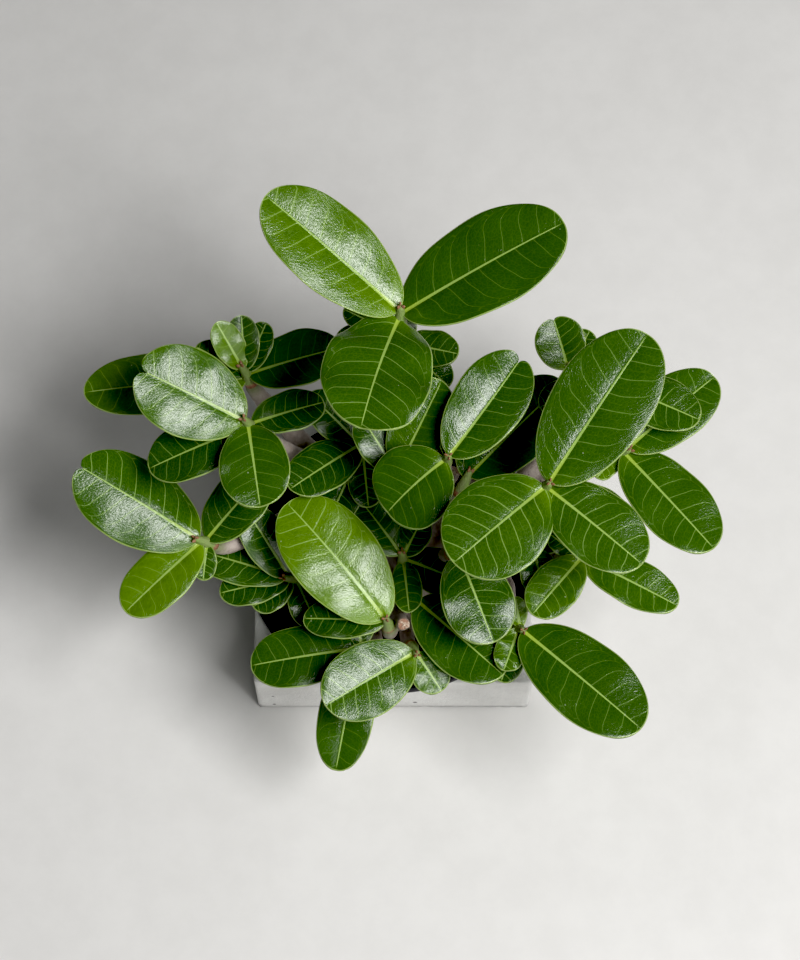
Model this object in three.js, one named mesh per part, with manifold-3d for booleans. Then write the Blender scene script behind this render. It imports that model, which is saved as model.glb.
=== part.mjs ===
// A potted desert rose (adenium): a low square planter, a round nursery pot nested in it,
// granular soil, a swollen stem with its branches, and a rosette of leaves at each branch end.
// Millimetres, +Z up, +X to the right, the viewer's side at -Y.
// The origin is the centre of the planter's flat underside.

import * as THREE from "three";
import { mergeVertices } from "three/addons/utils/BufferGeometryUtils.js";
import Module from "manifold-3d";

const wasm = await Module();
wasm.setup();

// ---------------------------------------------------------------- driving dimensions

const GAP = 0.3; // left between pieces that touch
const PLANTER = { side: 120, height: 37, floor: 6, wellRadius: 57, chamfer: 0.8, corner: 2 };
const LINER = { rimRadius: 65, rimTop: 41, footRadius: 50, neckRadius: 56, wall: 1.9, flange: 1.5 };
const SOIL = { level: 34.5, relief: 0.9, grain: 4.4 };
const STEM = { holeRadius: 24.4, rootDepth: 20, bellyRadius: 29, crownHeight: 76, lobes: 5 };
const SHOOT = { radius: 2.9, tipRadius: 1.4, length: 11, seat: 6.5, leafSpan: 6, root: 1 };
const BLADE = {
  thickness: 0.8,
  petiole: 1.5, // half width where the blade meets the shoot
  widest: 0.54, // place of the greatest width along the blade
  cap: 0.94, // where the last straight row of the blade gives way to the rounded tip
  lobe: 0.65, // share of the last row over which each lobe beside a notched tip is rounded
  fold: 10, // degrees that each half rises from the midrib
  bend: 13, // degrees that the midrib turns down from base to tip
};

const COLOURS = {
  planter: { color: 0xc8c8c4, roughness: 0.85, metalness: 0 },
  liner: { color: 0x16171a, roughness: 0.45, metalness: 0 },
  soil: { color: 0x1b181a, roughness: 0.95, metalness: 0 },
  bark: { color: 0x9a8a80, roughness: 0.75, metalness: 0 },
  leaf: { color: 0x3f6b1c, roughness: 0.35, metalness: 0 },
};

// Each rosette: where its leaves meet, the way its shoot points (tilt from upright, towards
// heading), and its leaves, the uppermost first. A leaf has a heading (degrees from +X,
// anticlockwise from above), a mean rise above level, a length and a width. It may also have
// its own bend, fold, roll about its length (positive lowers the right-hand edge), sway of its
// midrib to the left, notch depth at the tip and wave height of its edge.
const ROSETTES = {
  back: {
    at: [3, 44, 185],
    tilt: 12,
    heading: 80,
    leaves: [
      { heading: 144.5, rise: 22, length: 68, width: 35, bend: 8, fold: 10 },
      { heading: 24, rise: 18, length: 72, width: 39 },
      { heading: 250, rise: 12, length: 55, width: 43, fold: 7, sway: 4, wave: 1.6 },
    ],
  },
  back_low: {
    at: [3, 64, 118],
    tilt: 45,
    heading: 85,
    leaves: [
      { heading: 157, rise: 15, length: 26, width: 13 },
      { heading: 178, rise: 5, length: 26, width: 12 },
      { heading: 344, rise: 10, length: 25, width: 17 },
      { heading: 318, rise: 0, length: 27, width: 17 },
      { heading: 95, rise: -35, length: 27, width: 17 },
    ],
  },
  left_back: {
    at: [-61, 46, 126],
    tilt: 25,
    heading: 140,
    leaves: [
      { heading: 126, rise: 40, length: 23, width: 13, bend: 8 },
      { heading: 93, rise: 35, length: 23, width: 14 },
      { heading: 65, rise: 25, length: 22, width: 13 },
      { heading: 13, rise: 10, length: 40, width: 25 },
      { heading: 152, rise: 10, length: 24, width: 14 },
      { heading: 188, rise: 5, length: 67, width: 28 },
    ],
  },
  left_high: {
    at: [-58, 15, 145],
    tilt: 20,
    heading: 180,
    leaves: [
      { heading: 160, rise: 21, length: 48, width: 36, bend: 8, fold: 6, roll: -10, notch: 5 },
      { heading: 279, rise: 0, length: 36, width: 28 },
      { heading: 20, rise: -5, length: 31, width: 18 },
      { heading: 200, rise: -12, length: 44, width: 25 },
    ],
  },
  left_front: {
    at: [-78, -21, 107],
    tilt: 35,
    heading: 190,
    leaves: [
      { heading: 153, rise: 20, length: 58, width: 36, bend: 9, fold: -6, roll: -1, notch: 3 },
      { heading: 224, rise: -5, length: 42, width: 24 },
      { heading: 46, rise: 18, length: 38, width: 23 },
      { heading: 264, rise: -20, length: 15, width: 10 },
    ],
  },
  left_low: {
    at: [-43, -29, 84],
    tilt: 40,
    heading: 200,
    leaves: [
      { heading: 162, rise: -2, length: 40, width: 20 },
      { heading: 128, rise: 36, length: 36, width: 19 },
      { heading: 191, rise: -5, length: 30, width: 17 },
      { heading: 214, rise: -12, length: 20, width: 15 },
      { heading: 295, rise: -10, length: 22, width: 16 },
    ],
  },
  front: {
    at: [-2.5, -52.5, 97],
    tilt: 5,
    heading: 200,
    leaves: [
      { heading: 132, rise: 15, length: 63, width: 36, bend: 34, fold: 6, roll: -2 },
      { heading: 175, rise: -8, length: 34, width: 17 },
    ],
  },
  front_mid: {
    at: [9, -40, 88],
    tilt: 15,
    heading: 330,
    leaves: [{ heading: 317, rise: 2, length: 48, width: 31, bend: 8 }],
  },
  front_left: {
    at: [-14, -59, 82],
    tilt: 40,
    heading: 220,
    leaves: [
      { heading: 188, rise: -5, length: 44, width: 26 },
      { heading: 258, rise: -24, length: 51, width: 23 },
      { heading: 98, rise: 15, length: 15, width: 13 },
    ],
  },
  front_low: {
    at: [9, -62, 87],
    tilt: 35,
    heading: 290,
    leaves: [
      { heading: 213, rise: 4, length: 43, width: 30, bend: 10, fold: 10, roll: -13 },
      { heading: 305, rise: -14, length: 19, width: 16 },
    ],
  },
  middle: {
    at: [4, -21, 88],
    tilt: 10,
    heading: 120,
    leaves: [
      { heading: 128, rise: 10, length: 28, width: 20 },
      { heading: 60, rise: 25, length: 19, width: 14 },
      { heading: 341, rise: -12, length: 37, width: 22 },
      { heading: 275, rise: 24, length: 29, width: 13 },
    ],
  },
  centre: {
    at: [21.5, -2.5, 150],
    tilt: 12,
    heading: 300,
    leaves: [
      { heading: 50, rise: 9, length: 50, width: 29, bend: 16, fold: 18, roll: 3, sway: 3, notch: 3.5 },
      { heading: 218, rise: -22, length: 32, width: 35, bend: 45 },
      { heading: 74, rise: 18, length: 14, width: 9 },
    ],
  },
  inner_high: {
    at: [1.5, -2, 133],
    tilt: 20,
    heading: 200,
    leaves: [
      { heading: 57, rise: 28, length: 41, width: 24, bend: 16, fold: 14, sway: 2 },
      { heading: 124, rise: 18, length: 27, width: 17 },
    ],
  },
  inner: {
    at: [-13, 19, 112],
    tilt: 15,
    heading: 150,
    leaves: [
      { heading: 219, rise: 12, length: 37, width: 22 },
      { heading: 138, rise: 15, length: 30, width: 18 },
      { heading: 276, rise: -10, length: 25, width: 15 },
      { heading: 244, rise: -15, length: 34, width: 19 },
      { heading: 330, rise: 0, length: 17, width: 14 },
    ],
  },
  side_shoot: {
    at: [30, 4, 112],
    tilt: 50,
    heading: 60,
    leaves: [
      { heading: 42, rise: 15, length: 55, width: 31 },
      { heading: 78, rise: 0, length: 26, width: 14 },
    ],
  },
  right_high: {
    at: [60, -18, 160],
    tilt: 15,
    heading: 330,
    leaves: [
      { heading: 55, rise: 15, length: 70, width: 39, bend: 10, fold: 8 },
      { heading: 220, rise: -5, length: 47, width: 40, bend: 10, fold: 6 },
      { heading: 318, rise: 1, length: 48, width: 30, bend: 10 },
      { heading: 343, rise: -15, length: 37, width: 17 },
    ],
  },
  right_upper: {
    at: [86, 34, 140],
    tilt: 25,
    heading: 60,
    leaves: [
      { heading: 334, rise: 4, length: 40, width: 23 },
      { heading: 200, rise: 0, length: 28, width: 17 },
    ],
  },
  right: {
    at: [93, 8, 132],
    tilt: 35,
    heading: 350,
    leaves: [
      { heading: 39, rise: 8, length: 47, width: 27 },
      { heading: 309, rise: 2, length: 54, width: 29, bend: 8 },
      { heading: 227, rise: -5, length: 14, width: 9 },
    ],
  },
  right_back: {
    at: [73, 52, 112],
    tilt: 30,
    heading: 50,
    leaves: [
      { heading: 110, rise: 32, length: 23, width: 21, fold: 18, roll: -12, notch: 1.5 },
      { heading: 58, rise: 35, length: 20, width: 14 },
      { heading: 5, rise: 10, length: 26, width: 15 },
    ],
  },
  right_front: {
    at: [76, -31, 115],
    tilt: 35,
    heading: 330,
    leaves: [
      { heading: 229, rise: -5, length: 31, width: 20 },
      { heading: 331, rise: 1, length: 43, width: 20, bend: 8 },
      { heading: 141, rise: 5, length: 14, width: 10 },
    ],
  },
  front_right: {
    at: [52, -55, 95],
    tilt: 30,
    heading: 300,
    leaves: [
      { heading: 317.5, rise: 3, length: 63, width: 34, bend: 8 },
      { heading: 100, rise: 30, length: 13, width: 8 },
      { heading: 250, rise: 3, length: 19, width: 13, wave: 1.2 },
      { heading: 251, rise: -30, length: 23, width: 14 },
    ],
  },
  low_right: {
    at: [26, -28, 112],
    tilt: 25,
    heading: 320,
    leaves: [
      { heading: 291, rise: -8, length: 39, width: 29 },
      { heading: 30, rise: 5, length: 22, width: 14 },
    ],
  },
  right_low: {
    at: [57, -25, 108],
    tilt: 30,
    heading: 100,
    leaves: [
      { heading: 283, rise: -10, length: 20, width: 16 },
      { heading: 26, rise: 10, length: 19, width: 12 },
    ],
  },
};

// The branches: each leaves the stem or an older branch and ends at a rosette's seat. Points
// between the two ends are chosen by hand. Radii are at the two ends.
const BRANCHES = [
  { from: [0, 6, 52], via: [[3, 26, 92]], to: "back", radii: [11, 3.4] },
  { from: [2, 20, 78], via: [[3, 40, 96]], to: "back_low", radii: [5, 3] },
  { from: [-6, 8, 54], via: [[-30, 22, 84]], to: "left_back", radii: [9.5, 3.2] },
  { from: [-24, 19, 76], via: [[-44, 18, 108]], to: "left_high", radii: [6, 3.3] },
  { from: [-6, 2, 50], via: [[-36, -1, 84]], to: "left_front", radii: [8.5, 3.2] },
  { from: [-20, -3, 62], via: [[-31, -17, 70]], to: "left_low", radii: [5, 3] },
  { from: [0, -4, 50], via: [[-2, -34, 68]], to: "front", radii: [8, 3.2] },
  { from: [-2, -26, 62], via: [[5, -36, 72]], to: "front_mid", radii: [5, 3] },
  { from: [-2, -26, 62], via: [[-9, -42, 68]], to: "front_left", radii: [5, 3] },
  { from: [-1, -24, 61], via: [[5, -44, 68]], to: "front_low", radii: [5, 3] },
  { from: [0, -6, 56], via: [[3, -16, 68]], to: "middle", radii: [6, 3] },
  { from: [4, 4, 56], via: [[18, 5, 92]], to: "centre", radii: [9, 3.4] },
  { from: [14, 5, 84], via: [[8, 4, 104]], to: "inner_high", radii: [4.5, 3] },
  { from: [-4, 8, 62], via: [[-10, 15, 84]], to: "inner", radii: [6, 3] },
  { from: [18, 4, 92], via: [[23, 2, 101]], to: "side_shoot", radii: [4.5, 3] },
  { from: [6, 2, 52], via: [[36, 4, 84], [52, -4, 122]], to: "right_high", radii: [9.5, 3.4] },
  { from: [46, 0, 102], via: [[68, 5, 112]], to: "right", radii: [5.5, 3.1] },
  { from: [50, 2, 106], via: [[68, 20, 120]], to: "right_upper", radii: [4.5, 3] },
  { from: [34, 4, 82], via: [[54, 28, 90]], to: "right_back", radii: [5.5, 3] },
  { from: [4, -2, 50], via: [[38, -14, 72]], to: "right_front", radii: [8.5, 3.2] },
  { from: [34, -12, 69], via: [[46, -28, 78]], to: "front_right", radii: [5.5, 3.4] },
  { from: [20, -5, 60], via: [[30, -12, 86]], to: "low_right", radii: [5.5, 3] },
  { from: [40, -15, 75], via: [[50, -20, 88]], to: "right_low", radii: [4.5, 3] },
];

// Old pruning cuts: short stubs with flat ends.
const STUBS = [
  { from: [1.4, -42.5, 74], to: [4.4, -54, 98], radii: [3.6, 3.1] },
  { from: [3.4, 38, 160], to: [7.6, 38.5, 181], radii: [2.4, 1.7] },
  { from: [17, 5, 82], to: [26, 14, 98], radii: [4, 3.2] },
  { from: [-18, 16, 70], to: [-27, 30, 88], radii: [4.4, 3.6] },
  { from: [30, 4, 78], to: [34, 18, 92], radii: [4.2, 3.4] },
];

// ---------------------------------------------------------------- small helpers

const rad = THREE.MathUtils.degToRad;
const vec = (p) => new THREE.Vector3(...p);

// A closed geometry as a solid that can be joined and cut.
function solid(geometry) {
  const bare = geometry.index ? geometry.toNonIndexed() : geometry.clone();
  for (const name of Object.keys(bare.attributes)) {
    if (name !== "position") bare.deleteAttribute(name);
  }
  const merged = mergeVertices(bare, 1e-3);
  return new wasm.Manifold(
    new wasm.Mesh({
      numProp: 3,
      vertProperties: merged.attributes.position.array,
      triVerts: new Uint32Array(merged.index.array),
    }),
  );
}

// The solid's largest body as a geometry: scraps and sealed hollows left by a union go.
function geometryOf(body) {
  const pieces = body.decompose().filter((piece) => piece.volume() > 0);
  const largest = pieces.reduce((a, b) => (a.volume() > b.volume() ? a : b));
  const mesh = largest.getMesh();
  const geometry = new THREE.BufferGeometry();
  geometry.setAttribute("position", new THREE.BufferAttribute(mesh.vertProperties, 3));
  geometry.setIndex(new THREE.BufferAttribute(mesh.triVerts, 1));
  return geometry;
}

// A named mesh in its own material.
function piece(name, body, look) {
  const mesh = new THREE.Mesh(geometryOf(body), new THREE.MeshStandardMaterial(look));
  mesh.name = name;
  return mesh;
}

// A body of revolution about Z from a profile of [radius, height] points.
function turned(profile, segments) {
  const points = profile.map(([r, z]) => new THREE.Vector2(r, z));
  return new THREE.LatheGeometry(points, segments).rotateX(Math.PI / 2);
}

// A repeatable number from 0 to 1 for a place in the plane.
function speckle(x, y) {
  const s = Math.sin(x * 12.9898 + y * 78.233) * 43758.5453;
  return s - Math.floor(s);
}

// The unit vector at a heading and a rise, both in degrees.
function direction(heading, rise) {
  const flat = Math.cos(rad(rise));
  return new THREE.Vector3(
    flat * Math.cos(rad(heading)),
    flat * Math.sin(rad(heading)),
    Math.sin(rad(rise)),
  );
}

// ---------------------------------------------------------------- planter, liner and soil

// A square block with softened edges and a round well.
function planter() {
  const { side, height, floor, wellRadius, chamfer, corner } = PLANTER;
  const half = side / 2 - chamfer;
  const outline = new THREE.Shape();
  outline.moveTo(-half + corner, -half);
  outline.lineTo(half - corner, -half);
  outline.quadraticCurveTo(half, -half, half, -half + corner);
  outline.lineTo(half, half - corner);
  outline.quadraticCurveTo(half, half, half - corner, half);
  outline.lineTo(-half + corner, half);
  outline.quadraticCurveTo(-half, half, -half, half - corner);
  outline.lineTo(-half, -half + corner);
  outline.quadraticCurveTo(-half, -half, -half + corner, -half);
  const block = new THREE.ExtrudeGeometry(outline, {
    depth: height - 2 * chamfer,
    curveSegments: 3,
    bevelSegments: 1,
    bevelSize: chamfer,
    bevelThickness: chamfer,
  }).translate(0, 0, chamfer);
  const wellDepth = height - floor;
  const well = new THREE.CylinderGeometry(wellRadius, wellRadius, wellDepth + 1, 48);
  well.rotateX(Math.PI / 2).translate(0, 0, floor + (wellDepth + 1) / 2);
  return piece("square_pot", solid(block).subtract(solid(well)), COLOURS.planter);
}

// The inner radius of the liner's wall at a height.
function linerInside(z) {
  const { footRadius, neckRadius, wall } = LINER;
  const foot = PLANTER.floor + GAP;
  const t = (z - foot) / (PLANTER.height + GAP - foot);
  return footRadius + (neckRadius - footRadius) * t - wall;
}

// A shallow round pot, hung by its broad dished rim on the planter's top.
function liner() {
  const { rimRadius, rimTop, footRadius, neckRadius, wall, flange } = LINER;
  const foot = PLANTER.floor + GAP;
  const under = PLANTER.height + GAP;
  const throat = under + flange;
  const profile = [
    [0, foot],
    [footRadius, foot],
    [neckRadius, under],
    [rimRadius - 0.6, under],
    [rimRadius, under + 0.6],
    [rimRadius, rimTop - 0.5],
    [rimRadius - 0.5, rimTop],
    [rimRadius - 1.3, rimTop],
    [rimRadius - 1.9, rimTop - 0.6],
    [neckRadius - 0.6, throat],
    [neckRadius - wall, throat - 1.2],
    [linerInside(foot + wall), foot + wall],
    [0, foot + wall],
  ];
  return piece("inner_pot", solid(turned(profile, 36)), COLOURS.liner);
}

// The soil: a disc with a grainy top and a plain hole where the stem's root stands.
function soil() {
  const bottom = PLANTER.floor + 2 * GAP + LINER.wall;
  const rim = linerInside(SOIL.level) - GAP;
  const top = [];
  for (let r = rim; r > 0; r -= SOIL.grain) top.push([r, SOIL.level]);
  top.push([0, SOIL.level]);
  const profile = [[0, bottom], [linerInside(bottom) - GAP, bottom], ...top];
  const body = turned(profile, 34);
  const p = body.attributes.position;
  for (let i = 0; i < p.count; i++) {
    const r = Math.hypot(p.getX(i), p.getY(i));
    if (p.getZ(i) < SOIL.level - 0.1 || r > rim - 0.5) continue;
    const x = Math.round(p.getX(i) * 10);
    const y = Math.round(p.getY(i) * 10);
    p.setZ(i, SOIL.level - SOIL.relief * speckle(x, y));
  }
  const depth = STEM.rootDepth + GAP;
  const hole = new THREE.CylinderGeometry(STEM.holeRadius, STEM.holeRadius, depth + 1, 28);
  hole.rotateX(Math.PI / 2).translate(0, 0, SOIL.level + 1 - (depth + 1) / 2);
  return piece("soil", solid(body).subtract(solid(hole)), COLOURS.soil);
}

// ---------------------------------------------------------------- stem and branches

// The swollen stem base: round where it stands in the soil, lobed like old roots above it.
function swollenStem() {
  const { rootDepth, bellyRadius, crownHeight, lobes } = STEM;
  const neck = STEM.holeRadius - 1;
  const ground = SOIL.level;
  const profile = [
    [0, ground - rootDepth],
    [neck * 0.45, ground - rootDepth],
    [neck * 0.8, ground - rootDepth * 0.6],
    [neck, ground - rootDepth * 0.2],
    [neck, ground + 0.6],
    [bellyRadius * 0.96, ground + 4],
    [bellyRadius, ground + 9],
    [bellyRadius * 0.9, ground + 16],
    [bellyRadius * 0.68, ground + 24],
    [bellyRadius * 0.46, ground + 31],
    [bellyRadius * 0.3, crownHeight - 4],
    [0, crownHeight],
  ];
  const body = turned(profile, 24);
  const p = body.attributes.position;
  for (let i = 0; i < p.count; i++) {
    const above = THREE.MathUtils.smoothstep(p.getZ(i), ground + 0.6, ground + 8);
    const angle = Math.atan2(p.getY(i), p.getX(i));
    const swell = 1 + above * (0.06 * Math.cos(lobes * angle + 0.8) - 0.04 * Math.cos(2 * angle));
    p.setX(i, p.getX(i) * swell);
    p.setY(i, p.getY(i) * swell);
  }
  return solid(body);
}

// A round limb along hand-placed points, thinner at its far end.
function limb(points, [startRadius, endRadius]) {
  const curve = new THREE.CatmullRomCurve3(points);
  const steps = Math.max(3, Math.round(curve.getLength() / 13));
  const ring = new THREE.Shape().absarc(0, 0, 1, 0, 2 * Math.PI);
  const sides = startRadius > 6 ? 8 : 6;
  const tube = new THREE.ExtrudeGeometry(ring, { steps, curveSegments: sides / 2, extrudePath: curve });
  const centres = curve.getSpacedPoints(steps);
  const p = tube.attributes.position;
  const point = new THREE.Vector3();
  for (let i = 0; i < p.count; i++) {
    point.fromBufferAttribute(p, i);
    const distances = centres.map((c) => c.distanceTo(point));
    const k = distances.indexOf(Math.min(...distances));
    const radius = THREE.MathUtils.lerp(startRadius, endRadius, Math.sqrt(k / steps));
    point.sub(centres[k]).multiplyScalar(radius).add(centres[k]);
    p.setXYZ(i, point.x, point.y, point.z);
  }
  return solid(tube);
}

// Where a rosette's shoot stands on its branch, and which way the shoot points.
function seatOf({ at, tilt, heading }) {
  const axis = direction(heading, 90 - tilt);
  return { axis, foot: vec(at).addScaledVector(axis, -SHOOT.seat) };
}

// The branch's line: it ends square to the shoot, a gap below it.
function branchPoints({ from, via, to }) {
  const { axis, foot } = seatOf(ROSETTES[to]);
  const end = foot.clone().addScaledVector(axis, -GAP);
  const before = end.clone().addScaledVector(axis, -7);
  return [vec(from), ...via.map(vec), before, end];
}

function caudex() {
  let body = swollenStem();
  for (const branch of BRANCHES) body = body.add(limb(branchPoints(branch), branch.radii));
  for (const { from, to, radii } of STUBS) body = body.add(limb([vec(from), vec(to)], radii));
  return piece("caudex", body, COLOURS.bark);
}

// ---------------------------------------------------------------- leaves

// Half the blade's width at u, from 0 at the base to 1 at the tip, as a share of its greatest.
function fullness(u) {
  const c = BLADE.widest;
  if (u < c) return Math.sqrt(Math.max(0, 1 - ((c - u) / c) ** 1.8));
  return Math.sqrt(Math.max(0, 1 - ((u - c) / (1 - c)) ** 2.2));
}

// The u of the rounded tip's edge at a share y of the greatest half width.
function tipEdge(y) {
  return BLADE.widest + (1 - BLADE.widest) * (1 - y * y) ** (1 / 2.2);
}

// A point of the blade's middle surface. t runs along the rows of the blade, v across from
// the left edge (-1) to the right (1). The base is at the origin and the blade points to +X.
function bladePoint(leaf, t, v) {
  const { length, width, rise = 0, bend = BLADE.bend, fold = BLADE.fold } = leaf;
  const { roll = 0, sway = 0, notch = 0, wave = 0.5 } = leaf;
  const row = BLADE.cap * t ** 1.25;
  const share = fullness(row);
  const half = Math.max(BLADE.petiole, (share * width) / 2);
  const round = THREE.MathUtils.smoothstep(t, 0.55, 1);
  const edgeLift = tipEdge(share * Math.abs(v)) - tipEdge(share);
  const inwards = 1 - Math.min(1, Math.abs(v) / BLADE.lobe);
  const cleft = (notch / length) * (1 - Math.sqrt(1 - inwards * inwards)) * round;
  const u = row + round * edgeLift - cleft;
  const start = rad(rise + bend / 2);
  const turn = Math.max(rad(bend), 0.01);
  const x = (length * (Math.sin(start) - Math.sin(start - turn * u))) / turn;
  const z = (length * (Math.cos(start - turn * u) - Math.cos(start))) / turn;
  const y = v * half;
  const ripple = wave * Math.abs(v) * Math.sin(2 * Math.PI * (2.5 * u + (v > 0 ? 0.2 : 0.65)));
  const lift = Math.abs(y) * Math.tan(rad(fold)) - (0.12 * y * y) / half + ripple;
  const angle = start - turn * u;
  const across = y * Math.cos(rad(roll)) + lift * Math.sin(rad(roll));
  const up = lift * Math.cos(rad(roll)) - y * Math.sin(rad(roll));
  return new THREE.Vector3(x - up * Math.sin(angle), sway * u * u - across, z + up * Math.cos(angle));
}

// A blade: a grid of rows and columns, the same on both faces, closed around its edge.
function blade(leaf, rows, columns) {
  const grid = new THREE.PlaneGeometry(1, 1, columns, rows);
  const count = (rows + 1) * (columns + 1);
  const positions = new Float32Array(2 * count * 3);
  const step = 0.01;
  for (let k = 0; k < count; k++) {
    const t = 0.5 - grid.attributes.position.getY(k);
    const v = 2 * grid.attributes.position.getX(k);
    const p = bladePoint(leaf, t, v);
    const further = bladePoint(leaf, Math.min(1, t + step), v);
    const along = further.sub(bladePoint(leaf, Math.max(0, t - step), v));
    const rightward = bladePoint(leaf, t, Math.min(1, v + step));
    const right = rightward.sub(bladePoint(leaf, t, Math.max(-1, v - step)));
    const normal = right.cross(along).normalize().multiplyScalar(BLADE.thickness / 2);
    positions.set(p.clone().add(normal).toArray(), 3 * k);
    positions.set(p.clone().sub(normal).toArray(), 3 * (count + k));
  }
  const faces = [];
  const index = grid.index.array;
  for (let i = 0; i < index.length; i += 3) {
    const [a, b, c] = [index[i], index[i + 1], index[i + 2]];
    faces.push(a, c, b, count + a, count + b, count + c);
  }
  for (const [a, b] of rimOf(rows, columns)) {
    faces.push(a, b, count + a, b, count + b, count + a);
  }
  const geometry = new THREE.BufferGeometry();
  geometry.setAttribute("position", new THREE.BufferAttribute(positions, 3));
  geometry.setIndex(faces);
  return geometry;
}

// The grid's edges in order round its rim, as pairs of vertex numbers.
function rimOf(rows, columns) {
  const wide = columns + 1;
  const loop = [];
  for (let i = 0; i < rows; i++) loop.push(i * wide);
  for (let i = 0; i < columns; i++) loop.push(rows * wide + i);
  for (let i = rows; i > 0; i--) loop.push(i * wide + columns);
  for (let i = columns; i > 0; i--) loop.push(i);
  return loop.map((a, i) => [a, loop[(i + 1) % loop.length]]);
}

// A rosette: a green shoot tip with its leaves rooted in it.
function rosette(name, spec) {
  const { axis, foot } = seatOf(spec);
  const upright = new THREE.Vector3(0, 0, 1);
  const shoot = new THREE.CylinderGeometry(SHOOT.tipRadius, SHOOT.radius, SHOOT.length, 8);
  shoot.rotateX(Math.PI / 2).translate(0, 0, SHOOT.length / 2);
  shoot.applyQuaternion(new THREE.Quaternion().setFromUnitVectors(upright, axis));
  shoot.translate(foot.x, foot.y, foot.z);
  let body = solid(shoot);
  spec.leaves.forEach((leaf, i) => {
    const small = leaf.length < 30;
    const rows = leaf.length < 45 ? 5 : 6;
    const shape = blade(leaf, rows, small ? 2 : 4);
    const lower = (SHOOT.leafSpan * i) / Math.max(4, spec.leaves.length);
    const base = vec(spec.at).addScaledVector(axis, 1 - lower);
    shape.translate(SHOOT.root, 0, 0).rotateZ(rad(leaf.heading)).translate(base.x, base.y, base.z);
    body = body.add(solid(shape));
  });
  return piece("leaves_" + name, body, COLOURS.leaf);
}

// ---------------------------------------------------------------- the plant in its pots

const plant = new THREE.Group();
plant.add(planter(), liner(), soil(), caudex());
for (const [name, spec] of Object.entries(ROSETTES)) plant.add(rosette(name, spec));

export default plant;
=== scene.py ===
"""A potted desert rose (adenium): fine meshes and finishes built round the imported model.

The plant stands in a round nursery pot that is nested in a low square planter. Lengths in the
classes and tables are millimetres, as in the part's own source, and MM turns them into metres.
+Z is up, +X is to the right and the viewer's side is at -Y.
"""

import logging
import math
import random
from dataclasses import dataclass
from enum import Enum
from typing import Callable

import bmesh
import bpy
from mathutils import Matrix, Vector, noise
from mathutils.kdtree import KDTree


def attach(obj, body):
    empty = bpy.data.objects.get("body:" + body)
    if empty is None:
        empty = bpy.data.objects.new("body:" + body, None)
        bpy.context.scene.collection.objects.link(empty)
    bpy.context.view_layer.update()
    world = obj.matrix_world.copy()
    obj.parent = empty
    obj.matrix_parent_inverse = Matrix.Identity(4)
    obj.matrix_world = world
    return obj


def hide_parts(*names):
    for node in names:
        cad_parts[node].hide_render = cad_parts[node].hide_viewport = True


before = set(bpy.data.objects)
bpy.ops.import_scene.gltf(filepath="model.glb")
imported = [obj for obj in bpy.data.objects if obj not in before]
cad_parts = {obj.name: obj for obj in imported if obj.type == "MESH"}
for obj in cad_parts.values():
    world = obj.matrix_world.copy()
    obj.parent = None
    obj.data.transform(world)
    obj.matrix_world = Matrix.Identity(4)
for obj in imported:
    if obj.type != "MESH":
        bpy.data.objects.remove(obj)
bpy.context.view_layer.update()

log = logging.getLogger("desert_rose")

MM = 0.001
BODY = "root"
UP = Vector((0, 0, 1))
SIDE_SHIFT = 0.43  # how far the right half's side veins are ahead of the left half's, in veins

Colour = tuple[float, float, float]
Point = tuple[float, float, float]
Span = tuple[float, float]
Place = Callable[[int], Vector]
Socket = bpy.types.NodeSocket


# ---------------------------------------------------------------- small helpers


def smoothstep(value: float, low: float, high: float) -> float:
    """A soft step from 0 at low to 1 at high, which may be the lower of the two."""
    t = min(1.0, max(0.0, (value - low) / (high - low)))
    return t * t * (3 - 2 * t)


def direction(heading: float, rise: float) -> Vector:
    """The unit vector at a heading and a rise.

    Args:
        heading: degrees anticlockwise from +X.
        rise: degrees above level.

    Returns:
        The vector.
    """
    flat = math.cos(math.radians(rise))
    turn = math.radians(heading)
    return Vector((flat * math.cos(turn), flat * math.sin(turn), math.sin(math.radians(rise))))


def ripple(place: Vector, scale: float, seed: float = 0.0) -> float:
    """Smooth noise from -1 to 1.

    Args:
        place: a point in millimetres.
        scale: the size of one bump in millimetres.
        seed: shifts the pattern, so that two pieces differ.

    Returns:
        The noise at that point.
    """
    return noise.noise(place / scale + Vector((seed * 17.3, seed * 5.1, seed * 9.7)))


def linked(name: str, data: bpy.types.ID) -> bpy.types.Object:
    """Adds an object to the scene.

    Args:
        name: its name.
        data: its mesh, curve, light or camera.

    Returns:
        The object, at the origin.
    """
    added = bpy.data.objects.new(name, data)
    bpy.context.scene.collection.objects.link(added)
    return added


def finished(name: str, bm: bmesh.types.BMesh, material: bpy.types.Material) -> bpy.types.Object:
    """Turns a bmesh in metres into a smooth-shaded object that rides on the part.

    Args:
        name: the piece's name.
        bm: the mesh, which is freed.
        material: its finish.

    Returns:
        The new object, at the origin.
    """
    mesh = bpy.data.meshes.new(name)
    for face in bm.faces:
        face.smooth = True
    bm.to_mesh(mesh)
    bm.free()
    mesh.materials.append(material)
    piece = linked(name, mesh)
    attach(piece, BODY)
    log.info("%s: %d faces", name, len(mesh.polygons))
    return piece


def evaluated(data: bpy.types.ID, *modifiers: tuple[str, dict[str, object]]) -> bpy.types.Mesh:
    """What a curve or a mesh looks like after its modifiers.

    Args:
        data: the curve or mesh, which is kept as it is.
        modifiers: the type and the settings of each modifier, in order.

    Returns:
        A new mesh.
    """
    holder = linked("holder", data)
    for kind, settings in modifiers:
        modifier = holder.modifiers.new(kind, kind)
        for name, value in settings.items():
            setattr(modifier, name, value)
    seen = holder.evaluated_get(bpy.context.evaluated_depsgraph_get())
    mesh = bpy.data.meshes.new_from_object(seen)
    bpy.data.objects.remove(holder)
    return mesh


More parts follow.
